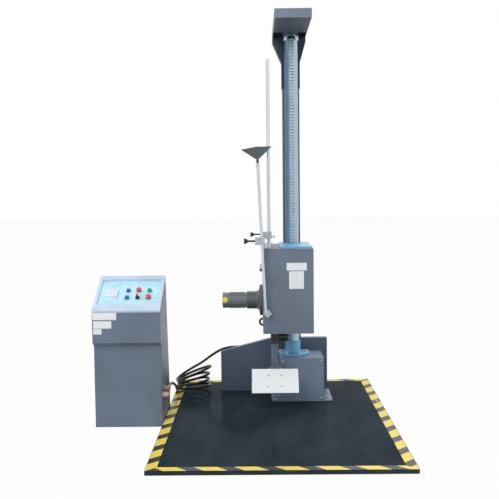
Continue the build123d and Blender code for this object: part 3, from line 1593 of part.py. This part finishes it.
def cable_run(route):
    with BuildPart() as run:
        with BuildLine() as path:
            FilletPolyline(*route, radius=corner_radii(route))
        with BuildSketch(Plane(origin=path.wire() @ 0, z_dir=path.wire() % 0)):
            Circle(cable_radius)
        sweep()
    wire_length = path.wire().length
    section = math.pi * cable_radius**2
    print("cable radii", [round(radius) for radius in corner_radii(route)])
    print("cable length", round(wire_length), "volume ratio", round(run.part.volume / section / wire_length, 4))
    return run


cable_upper = cable_run(upper_route)
cable_upper.part.label = "cable_upper"
export_step(cable_upper.part, "parts/cable_upper.step")

cable_tail = cable_run(tail_route)
cable_tail.part.label = "cable_tail"
export_step(cable_tail.part, "parts/cable_tail.step")

# Loose coil of the spare cable, higher on its right side where the turns fan out
coil_rise = math.degrees(math.atan((coil_right_height - coil_left_height) / (2 * coil_outer)))
coil_floor = plate_top + tape_thickness
with BuildPart() as cable_coil:
    with BuildSketch(Plane(origin=(coil_x, coil_y, coil_floor))):
        Circle(coil_outer)
        Circle(coil_inner, mode=Mode.SUBTRACT)
    extrude(amount=coil_right_height)
    coil_top = Plane(
        origin=(coil_x, coil_y, coil_floor + (coil_left_height + coil_right_height) / 2),
        x_dir=(math.cos(math.radians(coil_rise)), 0, math.sin(math.radians(coil_rise))),
        z_dir=(-math.sin(math.radians(coil_rise)), 0, math.cos(math.radians(coil_rise))),
    )
    split(bisect_by=coil_top, keep=Keep.BOTTOM)
    fillet(cable_coil.faces().sort_by(Axis.Z)[-1].outer_wire().edges(), radius=coil_edge)

    add([cable_upper.part, cable_tail.part], mode=Mode.SUBTRACT)
cable_coil.part.label = "cable_coil"
export_step(cable_coil.part, "parts/cable_coil.step")
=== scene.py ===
import math
import bpy
import numpy as np
from mathutils import Matrix, Vector


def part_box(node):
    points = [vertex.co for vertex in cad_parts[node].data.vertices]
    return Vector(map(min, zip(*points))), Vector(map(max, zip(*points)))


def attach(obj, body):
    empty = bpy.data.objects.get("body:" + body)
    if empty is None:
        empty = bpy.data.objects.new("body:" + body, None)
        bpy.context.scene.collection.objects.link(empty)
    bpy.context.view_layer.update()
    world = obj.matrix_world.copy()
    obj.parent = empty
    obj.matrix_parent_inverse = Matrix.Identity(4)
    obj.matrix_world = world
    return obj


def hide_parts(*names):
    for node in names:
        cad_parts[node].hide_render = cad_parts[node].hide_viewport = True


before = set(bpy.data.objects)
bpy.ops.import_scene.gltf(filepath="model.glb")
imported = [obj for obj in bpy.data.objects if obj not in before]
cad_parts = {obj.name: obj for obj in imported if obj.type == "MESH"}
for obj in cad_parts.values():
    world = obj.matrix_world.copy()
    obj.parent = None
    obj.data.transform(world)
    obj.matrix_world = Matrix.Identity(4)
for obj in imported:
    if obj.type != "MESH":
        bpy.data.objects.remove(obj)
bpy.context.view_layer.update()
print("frame loaded:", len(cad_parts), "nodes")

view = {
    "place": (-0.0968, -4.3503, 1.2452),  # metres, in the part's frame
    "yaw": math.radians(-0.549),  # turned a little to the left
    "pitch": math.radians(4.269),  # looking slightly down
    "roll": math.radians(-0.606),
    "focalPixels": 823.8,
    "imagePixels": 499,
    "sensor": 36.0,
}


def buildCamera(v):
    # forward, right and up from yaw, then pitch, then roll; the camera looks along minus its own Z
    forward = Vector((math.sin(v["yaw"]), math.cos(v["yaw"]), 0))
    right = Vector((math.cos(v["yaw"]), -math.sin(v["yaw"]), 0))
    up = Vector((0, 0, 1))
    look = forward * math.cos(v["pitch"]) - up * math.sin(v["pitch"])
    tall = up * math.cos(v["pitch"]) + forward * math.sin(v["pitch"])
    side = right * math.cos(v["roll"]) + tall * math.sin(v["roll"])
    top = tall * math.cos(v["roll"]) - right * math.sin(v["roll"])
    data = bpy.data.cameras.new("photoCamera")
    data.sensor_width = v["sensor"]
    data.lens = v["sensor"] * v["focalPixels"] / v["imagePixels"]
    data.clip_end = 60
    camera = bpy.data.objects.new("photoCamera", data)
    bpy.context.scene.collection.objects.link(camera)
    turn = Matrix((side, top, -look)).transposed().to_4x4()
    camera.matrix_world = Matrix.Translation(v["place"]) @ turn
    bpy.context.scene.camera = camera
    return camera


buildCamera(view)
print("camera in place")

# helpers for node materials


def newMaterial(name):
    material = bpy.data.materials.new(name)
    material.use_nodes = True
    tree = material.node_tree
    return material, tree.nodes, tree.links, tree.nodes["Principled BSDF"]


grainOf = {  # noise scales per metre and bump heights in metres
    "enamelCloud": 3.5, "enamelGloss": 22, "orangePeel": 420, "peelHeight": 0.0006,
    "grindHeight": 0.0003, "mouldCloud": 18, "mouldHeight": 0.0004,
    "smear": 6, "waviness": 14, "waveHeight": 0.002, "tapeWear": 35, "tapeHeight": 0.0004,
}


def linear(colour):
    # screen colour 0..255 to linear light, with alpha 1
    c = np.array(colour, float) / 255
    c = np.where(c <= 0.04045, c / 12.92, ((c + 0.055) / 1.055) ** 2.4)
    return (*c.tolist(), 1.0)


def patternSpace(nodes, links, stretch=(1, 1, 1), turn=(0, 0, 0)):
    place = nodes.new("ShaderNodeTexCoord")
    mapping = nodes.new("ShaderNodeMapping")
    mapping.inputs["Scale"].default_value = stretch
    mapping.inputs["Rotation"].default_value = turn
    links.new(place.outputs["Object"], mapping.inputs["Vector"])
    return mapping.outputs["Vector"]


def noise(nodes, links, space, scale, detail=3.0, rough=0.55):
    texture = nodes.new("ShaderNodeTexNoise")
    texture.inputs["Scale"].default_value = scale
    texture.inputs["Detail"].default_value = detail
    texture.inputs["Roughness"].default_value = rough
    links.new(space, texture.inputs["Vector"])
    return texture.outputs["Fac"]


def ramp(nodes, links, source, low, high, fromColour, toColour):
    node = nodes.new("ShaderNodeValToRGB")
    node.color_ramp.elements[0].position = low
    node.color_ramp.elements[0].color = fromColour
    node.color_ramp.elements[1].position = high
    node.color_ramp.elements[1].color = toColour
    links.new(source, node.inputs["Fac"])
    return node.outputs["Color"]


def spread(nodes, links, source, low, high):
    node = nodes.new("ShaderNodeMapRange")
    node.inputs["To Min"].default_value = low
    node.inputs["To Max"].default_value = high
    links.new(source, node.inputs["Value"])
    return node.outputs["Result"]


def bump(nodes, links, shader, source, strength, distance):
    node = nodes.new("ShaderNodeBump")
    node.inputs["Strength"].default_value = strength
    node.inputs["Distance"].default_value = distance
    links.new(source, node.inputs["Height"])
    links.new(node.outputs["Normal"], shader.inputs["Normal"])


def tone(colour, factor):
    return tuple(min(255, c * factor) for c in colour)


def paint(name, colour, roughness=0.42, orangePeel=0.08, cloud=0.06, metallic=0.0, level=0.5):
    # sprayed enamel: broad cloudy tone, fine orange peel, slightly uneven gloss
    material, nodes, links, shader = newMaterial(name)
    space = patternSpace(nodes, links)
    broad = noise(nodes, links, space, grainOf["enamelCloud"], 2.0)
    darker, lighter = linear(tone(colour, 1 - cloud)), linear(tone(colour, 1 + cloud))
    links.new(ramp(nodes, links, broad, 0.3, 0.7, darker, lighter), shader.inputs["Base Color"])
    uneven = noise(nodes, links, space, grainOf["enamelGloss"], 4.0)
    links.new(spread(nodes, links, uneven, roughness - 0.08, roughness + 0.08), shader.inputs["Roughness"])
    fine = noise(nodes, links, space, grainOf["orangePeel"], 2.0)
    bump(nodes, links, shader, fine, orangePeel, grainOf["peelHeight"])
    shader.inputs["Metallic"].default_value = metallic
    shader.inputs["Specular IOR Level"].default_value = level
    return material


def metal(name, colour, roughness=0.28, grain=(1, 1, 40), grainScale=30, streak=0.12, bumpStrength=0.05,
          metallic=1.0):
    # ground or brushed metal: noise drawn out along the grain drives tone, gloss and a fine bump
    material, nodes, links, shader = newMaterial(name)
    space = patternSpace(nodes, links, grain)
    lines = noise(nodes, links, space, grainScale, 5.0, 0.6)
    darker, lighter = linear(tone(colour, 1 - streak)), linear(tone(colour, 1 + streak))
    links.new(ramp(nodes, links, lines, 0.25, 0.75, darker, lighter), shader.inputs["Base Color"])
    links.new(spread(nodes, links, lines, roughness - 0.07, roughness + 0.07), shader.inputs["Roughness"])
    bump(nodes, links, shader, lines, bumpStrength, grainOf["grindHeight"])
    shader.inputs["Metallic"].default_value = metallic
    return material


def moulded(name, colour, roughness=0.4, texture=300, strength=0.05):
    # moulded plastic: even colour with a faint grain
    material, nodes, links, shader = newMaterial(name)
    space = patternSpace(nodes, links)
    broad = noise(nodes, links, space, grainOf["mouldCloud"], 2.0)
    darker, lighter = linear(tone(colour, 0.95)), linear(tone(colour, 1.05))
    links.new(ramp(nodes, links, broad, 0.3, 0.7, darker, lighter), shader.inputs["Base Color"])
    links.new(spread(nodes, links, broad, roughness - 0.05, roughness + 0.05), shader.inputs["Roughness"])
    bump(nodes, links, shader, noise(nodes, links, space, texture, 2.0), strength, grainOf["mouldHeight"])
    return material


finishes = {
    "plateBlack": {"colour": (44, 54, 62), "gloss": 0.10, "ior": 1.028},
    "stripes": {
        "yellow": (250, 222, 74), "black": (26, 26, 24), "period": 0.179, "share": 0.585,
        "frontStart": 0.046, "frontLine": -0.824, "sideLine": 0.574,
        "rightStart": -0.684, "leftStart": -0.432, "halfWidth": 0.6, "halfDepth": 0.85,
    },
}


def polishedPlate(f):
    # black enamel that mirrors faintly, with wiped smears in its gloss
    material, nodes, links, shader = newMaterial("polishedPlate")
    space = patternSpace(nodes, links, (1, 0.35, 1))
    smear = noise(nodes, links, space, grainOf["smear"], 5.0, 0.65)
    darker, lighter = linear(tone(f["colour"], 0.85)), linear(tone(f["colour"], 1.25))
    links.new(ramp(nodes, links, smear, 0.3, 0.75, darker, lighter), shader.inputs["Base Color"])
    links.new(spread(nodes, links, smear, f["gloss"] - 0.04, f["gloss"] + 0.10), shader.inputs["Roughness"])
    waves = noise(nodes, links, space, grainOf["waviness"], 2.0)
    bump(nodes, links, shader, waves, 0.04, grainOf["waveHeight"])
    shader.inputs["IOR"].default_value = f["ior"]
    return material


def mathNode(nodes, links, operation, a, b=None):
    node = nodes.new("ShaderNodeMath")
    node.operation = operation
    for slot, value in enumerate((a, b)):
        if value is None:
            continue
        if isinstance(value, (int, float)):
            node.inputs[slot].default_value = value
        else:
            links.new(value, node.inputs[slot])
    return node.outputs[0]


def hazardTape(f):
    # bands at 45 degrees: end strips lean one way and side strips the other, mitred at the corners
    material, nodes, links, shader = newMaterial("hazardTape")
    place = nodes.new("ShaderNodeTexCoord")
    parts = nodes.new("ShaderNodeSeparateXYZ")
    links.new(place.outputs["Object"], parts.inputs["Vector"])
    x, y = parts.outputs["X"], parts.outputs["Y"]
    ax = mathNode(nodes, links, "ABSOLUTE", x)
    ay = mathNode(nodes, links, "ABSOLUTE", y)
    pastSide = mathNode(nodes, links, "SUBTRACT", ax, f["halfWidth"])
    pastEnd = mathNode(nodes, links, "SUBTRACT", ay, f["halfDepth"])
    isSide = mathNode(nodes, links, "GREATER_THAN", pastSide, pastEnd)
    isRight = mathNode(nodes, links, "GREATER_THAN", x, 0.0)
    frontWay = mathNode(nodes, links, "ADD", x, mathNode(nodes, links, "SUBTRACT", y, f["frontLine"]))
    frontWay = mathNode(nodes, links, "SUBTRACT", frontWay, f["frontStart"])
    rightWay = mathNode(nodes, links, "SUBTRACT", y, mathNode(nodes, links, "SUBTRACT", x, f["sideLine"]))
    rightWay = mathNode(nodes, links, "SUBTRACT", rightWay, f["rightStart"])
    leftWay = mathNode(nodes, links, "SUBTRACT", y, mathNode(nodes, links, "ADD", x, f["sideLine"]))
    leftWay = mathNode(nodes, links, "SUBTRACT", leftWay, f["leftStart"])

    def choose(test, yes, no):
        chosen = nodes.new("ShaderNodeMix")
        links.new(test, chosen.inputs["Factor"])
        links.new(no, chosen.inputs["A"])
        links.new(yes, chosen.inputs["B"])
        return chosen.outputs["Result"]

    way = choose(isSide, choose(isRight, rightWay, leftWay), frontWay)
    turns = mathNode(nodes, links, "ADD", mathNode(nodes, links, "DIVIDE", way, f["period"]), 0.5)
    turns = mathNode(nodes, links, "FRACT", mathNode(nodes, links, "ADD", turns, 100.0))
    away = mathNode(nodes, links, "ABSOLUTE", mathNode(nodes, links, "SUBTRACT", turns, 0.5))
    isBlack = mathNode(nodes, links, "GREATER_THAN", away, f["share"] / 2)
    wear = noise(nodes, links, patternSpace(nodes, links), grainOf["tapeWear"], 4.0)
    dull, bright = linear(tone(f["yellow"], 0.95)), linear(tone(f["yellow"], 1.02))
    yellow = ramp(nodes, links, wear, 0.3, 0.7, dull, bright)
    black = ramp(nodes, links, wear, 0.3, 0.7, linear(f["black"]), linear(tone(f["black"], 1.4)))
    mix = nodes.new("ShaderNodeMix")
    mix.data_type = "RGBA"
    links.new(isBlack, mix.inputs["Factor"])
    links.new(yellow, mix.inputs["A"])
    links.new(black, mix.inputs["B"])
    links.new(mix.outputs["Result"], shader.inputs["Base Color"])
    links.new(spread(nodes, links, wear, 0.32, 0.5), shader.inputs["Roughness"])
    bump(nodes, links, shader, wear, 0.05, grainOf["tapeHeight"])
    return material


# painted reflection and shade on the post: left is the dark blue shaded side, right is the pale lit side
postPaintedShading = {"left": (64, 102, 132), "right": (168, 190, 206), "grain": 60, "gloss": 0.2}


def postSteelPaintedReflection(p):
    # ground steel tube with fine rings along it, coloured dark blue on its left and pale on its right as
    # painted reflection and shade
    material, nodes, links, shader = newMaterial("postSteelPaintedReflection")
    place = nodes.new("ShaderNodeTexCoord")
    parts = nodes.new("ShaderNodeSeparateXYZ")
    links.new(place.outputs["Object"], parts.inputs["Vector"])
    low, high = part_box("guide_post")
    across = nodes.new("ShaderNodeMapRange")
    across.inputs["From Min"].default_value = low.x
    across.inputs["From Max"].default_value = high.x
    links.new(parts.outputs["X"], across.inputs["Value"])
    # painted reflection and shade: colour runs from dark blue on the left of the tube to pale on the right
    paintedReflectionRamp = ramp(nodes, links, across.outputs["Result"], 0.05, 0.8, linear(p["left"]), linear(p["right"]))
    links.new(paintedReflectionRamp, shader.inputs["Base Color"])
    lines = noise(nodes, links, patternSpace(nodes, links, (1, 1, 0.06)), p["grain"], 5.0, 0.6)
    links.new(spread(nodes, links, lines, p["gloss"] - 0.06, p["gloss"] + 0.08), shader.inputs["Roughness"])
    bump(nodes, links, shader, lines, 0.02, 0.0003)
    shader.inputs["Metallic"].default_value = 0.85
    return material


paints = {
    "carriageGrey": paint("carriageGrey", (101, 114, 131)),
    "consoleGrey": paint("consoleGrey", (97, 110, 128)),
    "headGrey": paint("headGrey", (112, 125, 142)),
    "pedestalGrey": paint("pedestalGrey", (121, 140, 163)),
    "panelGrey": paint("panelGrey", (90, 103, 124)),
    "columnGrey": paint("columnGrey", (88, 99, 108), 0.45, 0.04),
    # painted shade: the dark teal stands in for the shadow under the head hood on the bracket and underplate
    "headPaintedShade": paint("headPaintedShade", (46, 60, 70), 0.5, 0.03, level=0.3),
    "castBlue": paint("castBlue", (118, 184, 222), 0.36, 0.22),
    "gearGrey": paint("gearGrey", (90, 98, 101), 0.38, 0.18),
    "driveGrey": paint("driveGrey", (112, 120, 123), 0.32, 0.18),
    # painted light: the fascia is the cabinet's grey paint, given a pale colour for the light and sky
    # reflection on its upward-tilted face
    "fasciaPaintedSkyLight": paint("fasciaPaintedSkyLight", (198, 212, 236), 0.4),
    "releaseBlack": paint("releaseBlack", (34, 38, 44), 0.4, 0.1),
    "ironDark": paint("ironDark", (52, 56, 62), 0.5, 0.3),
    "polishedPlate": polishedPlate(finishes["plateBlack"]),
    "hazardTape": hazardTape(finishes["stripes"]),
    "postSteelPaintedReflection": postSteelPaintedReflection(postPaintedShading),
    "rodSteel": metal("rodSteel", (198, 204, 209), 0.24, (1, 1, 0.06), 80, 0.08, 0.02),
    "rackSteel": metal("rackSteel", (190, 206, 216), 0.3, (1, 1, 0.2), 60, 0.1, 0.04, 0.85),
    "brightZinc": metal("brightZinc", (196, 200, 204), 0.3, (1, 1, 1), 60, 0.08, 0.04),
    "bronze": metal("bronze", (176, 138, 84), 0.32, (1, 1, 0.3), 50, 0.1, 0.04),
    "armSteel": metal("armSteel", (100, 115, 134), 0.38, (1, 1, 0.2), 60, 0.16, 0.06, 0.7),
    "supportWhite": paint("supportWhite", (248, 252, 254), 0.3, 0.04, 0.01),
    "clampGrey": metal("clampGrey", (168, 178, 186), 0.34, (1, 1, 1), 60, 0.1, 0.06, 0.8),
    "cupSteel": metal("cupSteel", (64, 78, 88), 0.4, (1, 1, 1), 40, 0.12, 0.04, 0.6),
    "controlCyan": moulded("controlCyan", (190, 236, 250), 0.35, 300, 0.02),
    "meterPale": moulded("meterPale", (222, 228, 250), 0.35),
    "ringSteel": metal("ringSteel", (176, 200, 218), 0.26, (1, 1, 0.2), 60, 0.08, 0.03, 0.9),
    "buttonBlue": moulded("buttonBlue", (40, 96, 204), 0.22, 200, 0.01),
    "buttonRed": moulded("buttonRed", (214, 70, 84), 0.22, 200, 0.01),
    "buttonGreen": moulded("buttonGreen", (24, 150, 138), 0.22, 200, 0.01),
    "knobBlack": moulded("knobBlack", (16, 16, 18), 0.2, 200, 0.01),
    "plugBeige": moulded("plugBeige", (196, 164, 140), 0.5),
    "cableBlack": moulded("cableBlack", (18, 20, 22), 0.36, 500, 0.08),
    "blankPlate": metal("blankPlate", (226, 230, 234), 0.4, (30, 1, 1), 20, 0.04, 0.02, 0.3),
    "dotYellow": moulded("dotYellow", (246, 222, 60), 0.4),
}

nodeFinish = {
    "base_plate": "polishedPlate", "edge_tape": "hazardTape", "pedestal_box": "pedestalGrey",
    "pedestal_cover": "pedestalGrey", "cover_screws": "brightZinc", "hex_bolts": "brightZinc",
    "post_flange": "castBlue", "guide_post": "postSteelPaintedReflection", "gear_rack": "rackSteel",
    "drive_pinion": "rackSteel", "rear_column": "columnGrey", "rear_panel": "panelGrey",
    # head bracket and underplate take the dark painted shade of the space under the hood
    "head_bracket": "headPaintedShade", "head_hood": "headGrey", "head_underplate": "headPaintedShade",
    "top_clamp": "ringSteel", "carriage_cover": "carriageGrey", "carriage_base": "armSteel",
    "guide_housing": "castBlue", "guide_bushes": "bronze", "shaft_bearing": "ironDark",
    "gearbox": "gearGrey", "hoist_motor": "driveGrey", "fan_cover": "driveGrey",
    "side_hubs": "brightZinc", "motor_lead": "cableBlack", "release_head": "releaseBlack",
    "drop_arm": "armSteel", "support_plate": "supportWhite", "plate_bracket": "armSteel",
    "plate_screws": "brightZinc", "hinge_pin": "brightZinc", "rod_socket": "brightZinc",
    "stand_rod": "rodSteel", "upper_clamp": "clampGrey", "upper_knob": "knobBlack",
    "thumb_screw": "brightZinc", "lower_clamp": "clampGrey", "lower_knob": "knobBlack",
    "leaning_rod": "rodSteel", "rod_end_pad": "clampGrey", "corner_cup": "cupSteel",
    # the fascia takes the pale painted-light copy of the cabinet grey
    "console_cabinet": "consoleGrey", "console_back": "consoleGrey", "control_panel": "controlCyan",
    "console_fascia": "fasciaPaintedSkyLight", "height_meter": "meterPale", "control_bezels": "brightZinc",
    "power_button": "buttonBlue", "stop_button": "buttonRed", "up_button": "buttonGreen",
    "down_button": "buttonBlue", "drop_button": "buttonRed", "mode_selector": "knobBlack",
    "side_sockets": "plugBeige", "cable_plug": "plugBeige", "terminal_box": "ironDark",
}
for nodeName, finishName in nodeFinish.items():
    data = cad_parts[nodeName].data
    data.materials.clear()
    data.materials.append(paints[finishName])
print("materials on the CAD nodes:", len(nodeFinish))

cable = {  # one curve from the terminal box through its loose turns to the plug, in metres
    "radius": 0.0075,
    "upper": [
        (-0.194, 0.636, 0.277), (-0.250, 0.636, 0.278), (-0.310, 0.636, 0.268), (-0.362, 0.641, 0.240),
        (-0.404, 0.654, 0.208), (-0.438, 0.674, 0.180),
    ],
    "tail": [
        (-0.590, 0.534, 0.040), (-0.586, 0.470, 0.070), (-0.584, 0.360, 0.112), (-0.580, 0.240, 0.148),
        (-0.580, 0.120, 0.181), (-0.580, 0.028, 0.181),
    ],
    "centre": (-0.492, 0.600),
    "hingeX": -0.594,  # the turns stack here and fan out to the right
    "turnRadius": 0.099,
    "slowSway": {"size": 0.007, "rate": 2.3},  # the loose turns differ in radius
    "quickSway": {"size": 0.004, "rate": 3.1, "shift": 0.6},
    "squeeze": 0.96,  # the turns are a little shorter from front to back
    "topHeight": 0.0952,
    "step": 0.0152,  # from one turn down to the next
    "tilt": 26.5,  # degrees, the top turn
    "startAngle": 75.0,
    "sweep": 1551.0,  # degrees, all turns together
    "pointsPerTurn": 14,
}


def coilTurns(c):
    # helix on planes hinged at one side: height = stacked level + distance from hinge x tan(tilt)
    count = int(c["sweep"] / 360 * c["pointsPerTurn"])
    along = np.linspace(0, 1, count)
    angle = np.radians(c["startAngle"] + c["sweep"] * along)
    slow, quick = c["slowSway"], c["quickSway"]
    radius = c["turnRadius"] + slow["size"] * np.sin(slow["rate"] * angle)
    radius = radius + quick["size"] * np.cos(quick["rate"] * angle + quick["shift"])
    x = c["centre"][0] + radius * np.cos(angle)
    y = c["centre"][1] + radius * c["squeeze"] * np.sin(angle)
    level = c["topHeight"] - c["step"] * np.degrees(angle - angle[0]) / 360
    tilt = np.radians(c["tilt"]) * (1 - along) ** 0.9
    z = level + (x - c["hingeX"]) * np.tan(tilt)
    return np.stack([x, y, z], axis=1)


def splineCurve(name, points, radius):
    data = bpy.data.curves.new(name, "CURVE")
    data.dimensions = "3D"
    data.bevel_depth = radius
    data.bevel_resolution = 5
    data.resolution_u = 6
    spline = data.splines.new("NURBS")
    spline.points.add(len(points) - 1)
    flat = np.concatenate([np.array(points, float), np.ones((len(points), 1))], axis=1)
    spline.points.foreach_set("co", flat.ravel())
    spline.order_u = 3
    spline.use_endpoint_u = True
    made = bpy.data.objects.new(name, data)
    bpy.context.scene.collection.objects.link(made)
    return made


cablePoints = np.concatenate([np.array(cable["upper"]), coilTurns(cable), np.array(cable["tail"])])
connectingCable = splineCurve("connectingCable", cablePoints, cable["radius"])
connectingCable.data.materials.append(paints["cableBlack"])
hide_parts("cable_upper", "cable_coil", "cable_tail")
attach(connectingCable, "frame")
print("cable laid")

# floor, world and lamps

light = {
    "worldGrey": 0.62,
    "floorWhite": 0.93,  # share of plain white in the floor that the camera sees
    "key": {"place": (-2.6, -4.2, 4.6), "size": 3.2, "power": 150},
    "fill": {"place": (3.6, -3.0, 2.6), "size": 3.0, "power": 18},
    "rim": {"place": (1.5, 3.8, 4.2), "size": 3.0, "power": 60},
}


def buildWorld(w):
    # plain grey light for surfaces, white for what the camera, gloss and glass see
    world = bpy.data.worlds.new("studio")
    bpy.context.scene.world = world
    world.use_nodes = True
    nodes, links = world.node_tree.nodes, world.node_tree.links
    nodes.clear()
    path = nodes.new("ShaderNodeLightPath")
    seen = mathNode(nodes, links, "MAXIMUM", path.outputs["Is Camera Ray"], path.outputs["Is Glossy Ray"])
    seen = mathNode(nodes, links, "MAXIMUM", seen, path.outputs["Is Transmission Ray"])
    dim = nodes.new("ShaderNodeBackground")
    dim.inputs["Color"].default_value = (1, 1, 1, 1)
    dim.inputs["Strength"].default_value = w["worldGrey"]
    white = nodes.new("ShaderNodeBackground")
    white.inputs["Color"].default_value = (1, 1, 1, 1)
    mix = nodes.new("ShaderNodeMixShader")
    links.new(seen, mix.inputs[0])
    links.new(dim.outputs[0], mix.inputs[1])
    links.new(white.outputs[0], mix.inputs[2])
    output = nodes.new("ShaderNodeOutputWorld")
    links.new(mix.outputs[0], output.inputs["Surface"])


def buildLamp(name, spec, target=(0, 0, 0.9)):
    data = bpy.data.lights.new(name, "AREA")
    data.energy = spec["power"]
    data.size = spec["size"]
    lamp = bpy.data.objects.new(name, data)
    bpy.context.scene.collection.objects.link(lamp)
    lamp.location = spec["place"]
    lamp.rotation_euler = (Vector(target) - Vector(spec["place"])).to_track_quat("-Z", "Y").to_euler()
    lamp.visible_glossy = True


def buildFloor(halfSize=30.0):
    mesh = bpy.data.meshes.new("studioFloor")
    h = halfSize
    corners = [(-h, -h, 0), (h, -h, 0), (h, h, 0), (-h, h, 0)]
    mesh.from_pydata(corners, [], [(0, 1, 2, 3)])
    floor = bpy.data.objects.new("studioFloor", mesh)
    bpy.context.scene.collection.objects.link(floor)
    material, nodes, links, shader = newMaterial("floorWhite")
    shader.inputs["Base Color"].default_value = (0.9, 0.9, 0.9, 1)
    shader.inputs["Roughness"].default_value = 0.9
    shader.inputs["Specular IOR Level"].default_value = 0.1
    path = nodes.new("ShaderNodeLightPath")
    seen = mathNode(nodes, links, "MAXIMUM", path.outputs["Is Camera Ray"], path.outputs["Is Glossy Ray"])
    glow = nodes.new("ShaderNodeEmission")
    glow.inputs["Color"].default_value = (1, 1, 1, 1)
    mix = nodes.new("ShaderNodeMixShader")
    links.new(mathNode(nodes, links, "MULTIPLY", seen, light["floorWhite"]), mix.inputs[0])
    links.new(shader.outputs[0], mix.inputs[1])
    links.new(glow.outputs[0], mix.inputs[2])
    output = [n for n in nodes if n.type == "OUTPUT_MATERIAL"][0]
    links.new(mix.outputs[0], output.inputs["Surface"])
    mesh.materials.append(material)


buildWorld(light)
for lampName in ("key", "fill", "rim"):
    buildLamp(lampName + "Lamp", light[lampName])
buildFloor()
bpy.context.scene.view_settings.view_transform = "Standard"
print("light and floor")

# small pieces that lie on the CAD solids


def meshObject(name, points, faces, material, body, smooth=True):
    mesh = bpy.data.meshes.new(name)
    mesh.from_pydata([tuple(p) for p in points], [], [tuple(int(i) for i in f) for f in faces])
    mesh.update()
    if smooth:
        mesh.shade_smooth()
    made = bpy.data.objects.new(name, mesh)
    bpy.context.scene.collection.objects.link(made)
    made.data.materials.append(material)
    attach(made, body)
    return made


def gridFaces(rows, columns):
    # quads of a grid of rows x columns points, the last column joined to the first
    i = np.arange(rows - 1)[:, None]
    j = np.arange(columns)[None, :]
    k = (j + 1) % columns
    here, above = i * columns, (i + 1) * columns
    quads = np.stack([here + j, here + k, above + k, above + j], axis=-1)
    return quads.reshape(-1, 4)


def roundedSlab(width, height, corner, thickness, edge, steps=6):
    # rounded rectangle swept through a thickness, its rim eased by edge
    angle = np.linspace(0, math.pi / 2, steps)
    ring = []
    for cx, cy, start in ((1, 1, 0), (-1, 1, 90), (-1, -1, 180), (1, -1, 270)):
        turn = angle + math.radians(start)
        ring.append(np.stack([cx * (width / 2 - corner) + corner * np.cos(turn),
                              cy * (height / 2 - corner) + corner * np.sin(turn)], axis=1))
    ring = np.concatenate(ring)
    inward = 1 - 2 * edge / min(width, height)
    layers = [(1.0, 0.0), (1.0, thickness - edge), (inward, thickness), (0.0, thickness)]
    levels = [np.concatenate([ring * s, np.full((len(ring), 1), h)], axis=1) for s, h in layers]
    points = np.concatenate(levels)
    return points, gridFaces(len(layers), len(ring))


def placed(points, origin, right, up, out):
    # local x, y, z laid along right, up and out
    basis = np.array([right, up, out], float)
    return points @ basis + np.array(origin)


blankSheet = {"thickness": 0.0012, "edge": 0.0004, "corner": 0.002}  # metres
carriagePlates = {
    "upper": {"x": (0.060, 0.169), "z": (0.798, 0.841), "trim": 0.002},
    "lower": {"x": (0.073, 0.153), "z": (0.698, 0.796), "trim": 0.002},
}
consolePlates = {
    "title": {"x": (-0.9515, -0.8285), "z": (0.573, 0.612), "trim": 0.0},
    "rating": {"x": (-0.9490, -0.8545), "z": (0.529, 0.567), "trim": 0.0},
    "serial": {"x": (-0.9490, -0.9055), "z": (0.498, 0.5265), "trim": 0.0},
}
consoleFront = -0.145  # y of the console's upper front


def layPlates(plates, sheet, front, body):
    # thin bare plates that face -y and lie on the face at y = front
    for plateName, p in plates.items():
        wide, tall = p["x"][1] - p["x"][0], p["z"][1] - p["z"][0]
        slab, faces = roundedSlab(wide, tall - p["trim"], sheet["corner"], sheet["thickness"], sheet["edge"])
        centre = ((p["x"][0] + p["x"][1]) / 2, front, (p["z"][0] + p["z"][1]) / 2)
        meshObject(plateName + "BlankPlate", placed(slab, centre, (1, 0, 0), (0, 0, 1), (0, -1, 0)), faces,
                   paints["blankPlate"], body, False)


layPlates(carriagePlates, blankSheet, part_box("carriage_cover")[0].y, "carriage")
layPlates(consolePlates, blankSheet, consoleFront, "frame")

motorDot = {"radius": 0.0165, "proud": 0.0006, "turn": 8.0}  # turn in degrees above level


def drumDot(d, low, high, rings=8, spokes=36):
    # round dot wrapped on a drum along X: x = a cos b, angle about the drum = a sin b / drum radius
    drum = (high.z - low.z) / 2
    a = np.linspace(0, d["radius"], rings)[:, None]
    b = np.linspace(0, 2 * math.pi, spokes, endpoint=False)[None, :]
    lift = drum + d["proud"] * np.where(a < d["radius"], 1.0, 0.0) + 0 * b
    x = (low.x + high.x) / 2 + a * np.cos(b)
    around = math.radians(d["turn"]) + a * np.sin(b) / drum
    y = (low.y + high.y) / 2 - lift * np.cos(around)
    z = (low.z + high.z) / 2 + lift * np.sin(around)
    return np.stack([x, y, z], axis=-1).reshape(-1, 3), gridFaces(rings, spokes)


points, faces = drumDot(motorDot, *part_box("fan_cover"))
meshObject("motorDot", points, faces[:, ::-1], paints["dotYellow"], "carriage")
print("blank plates and motor dot")
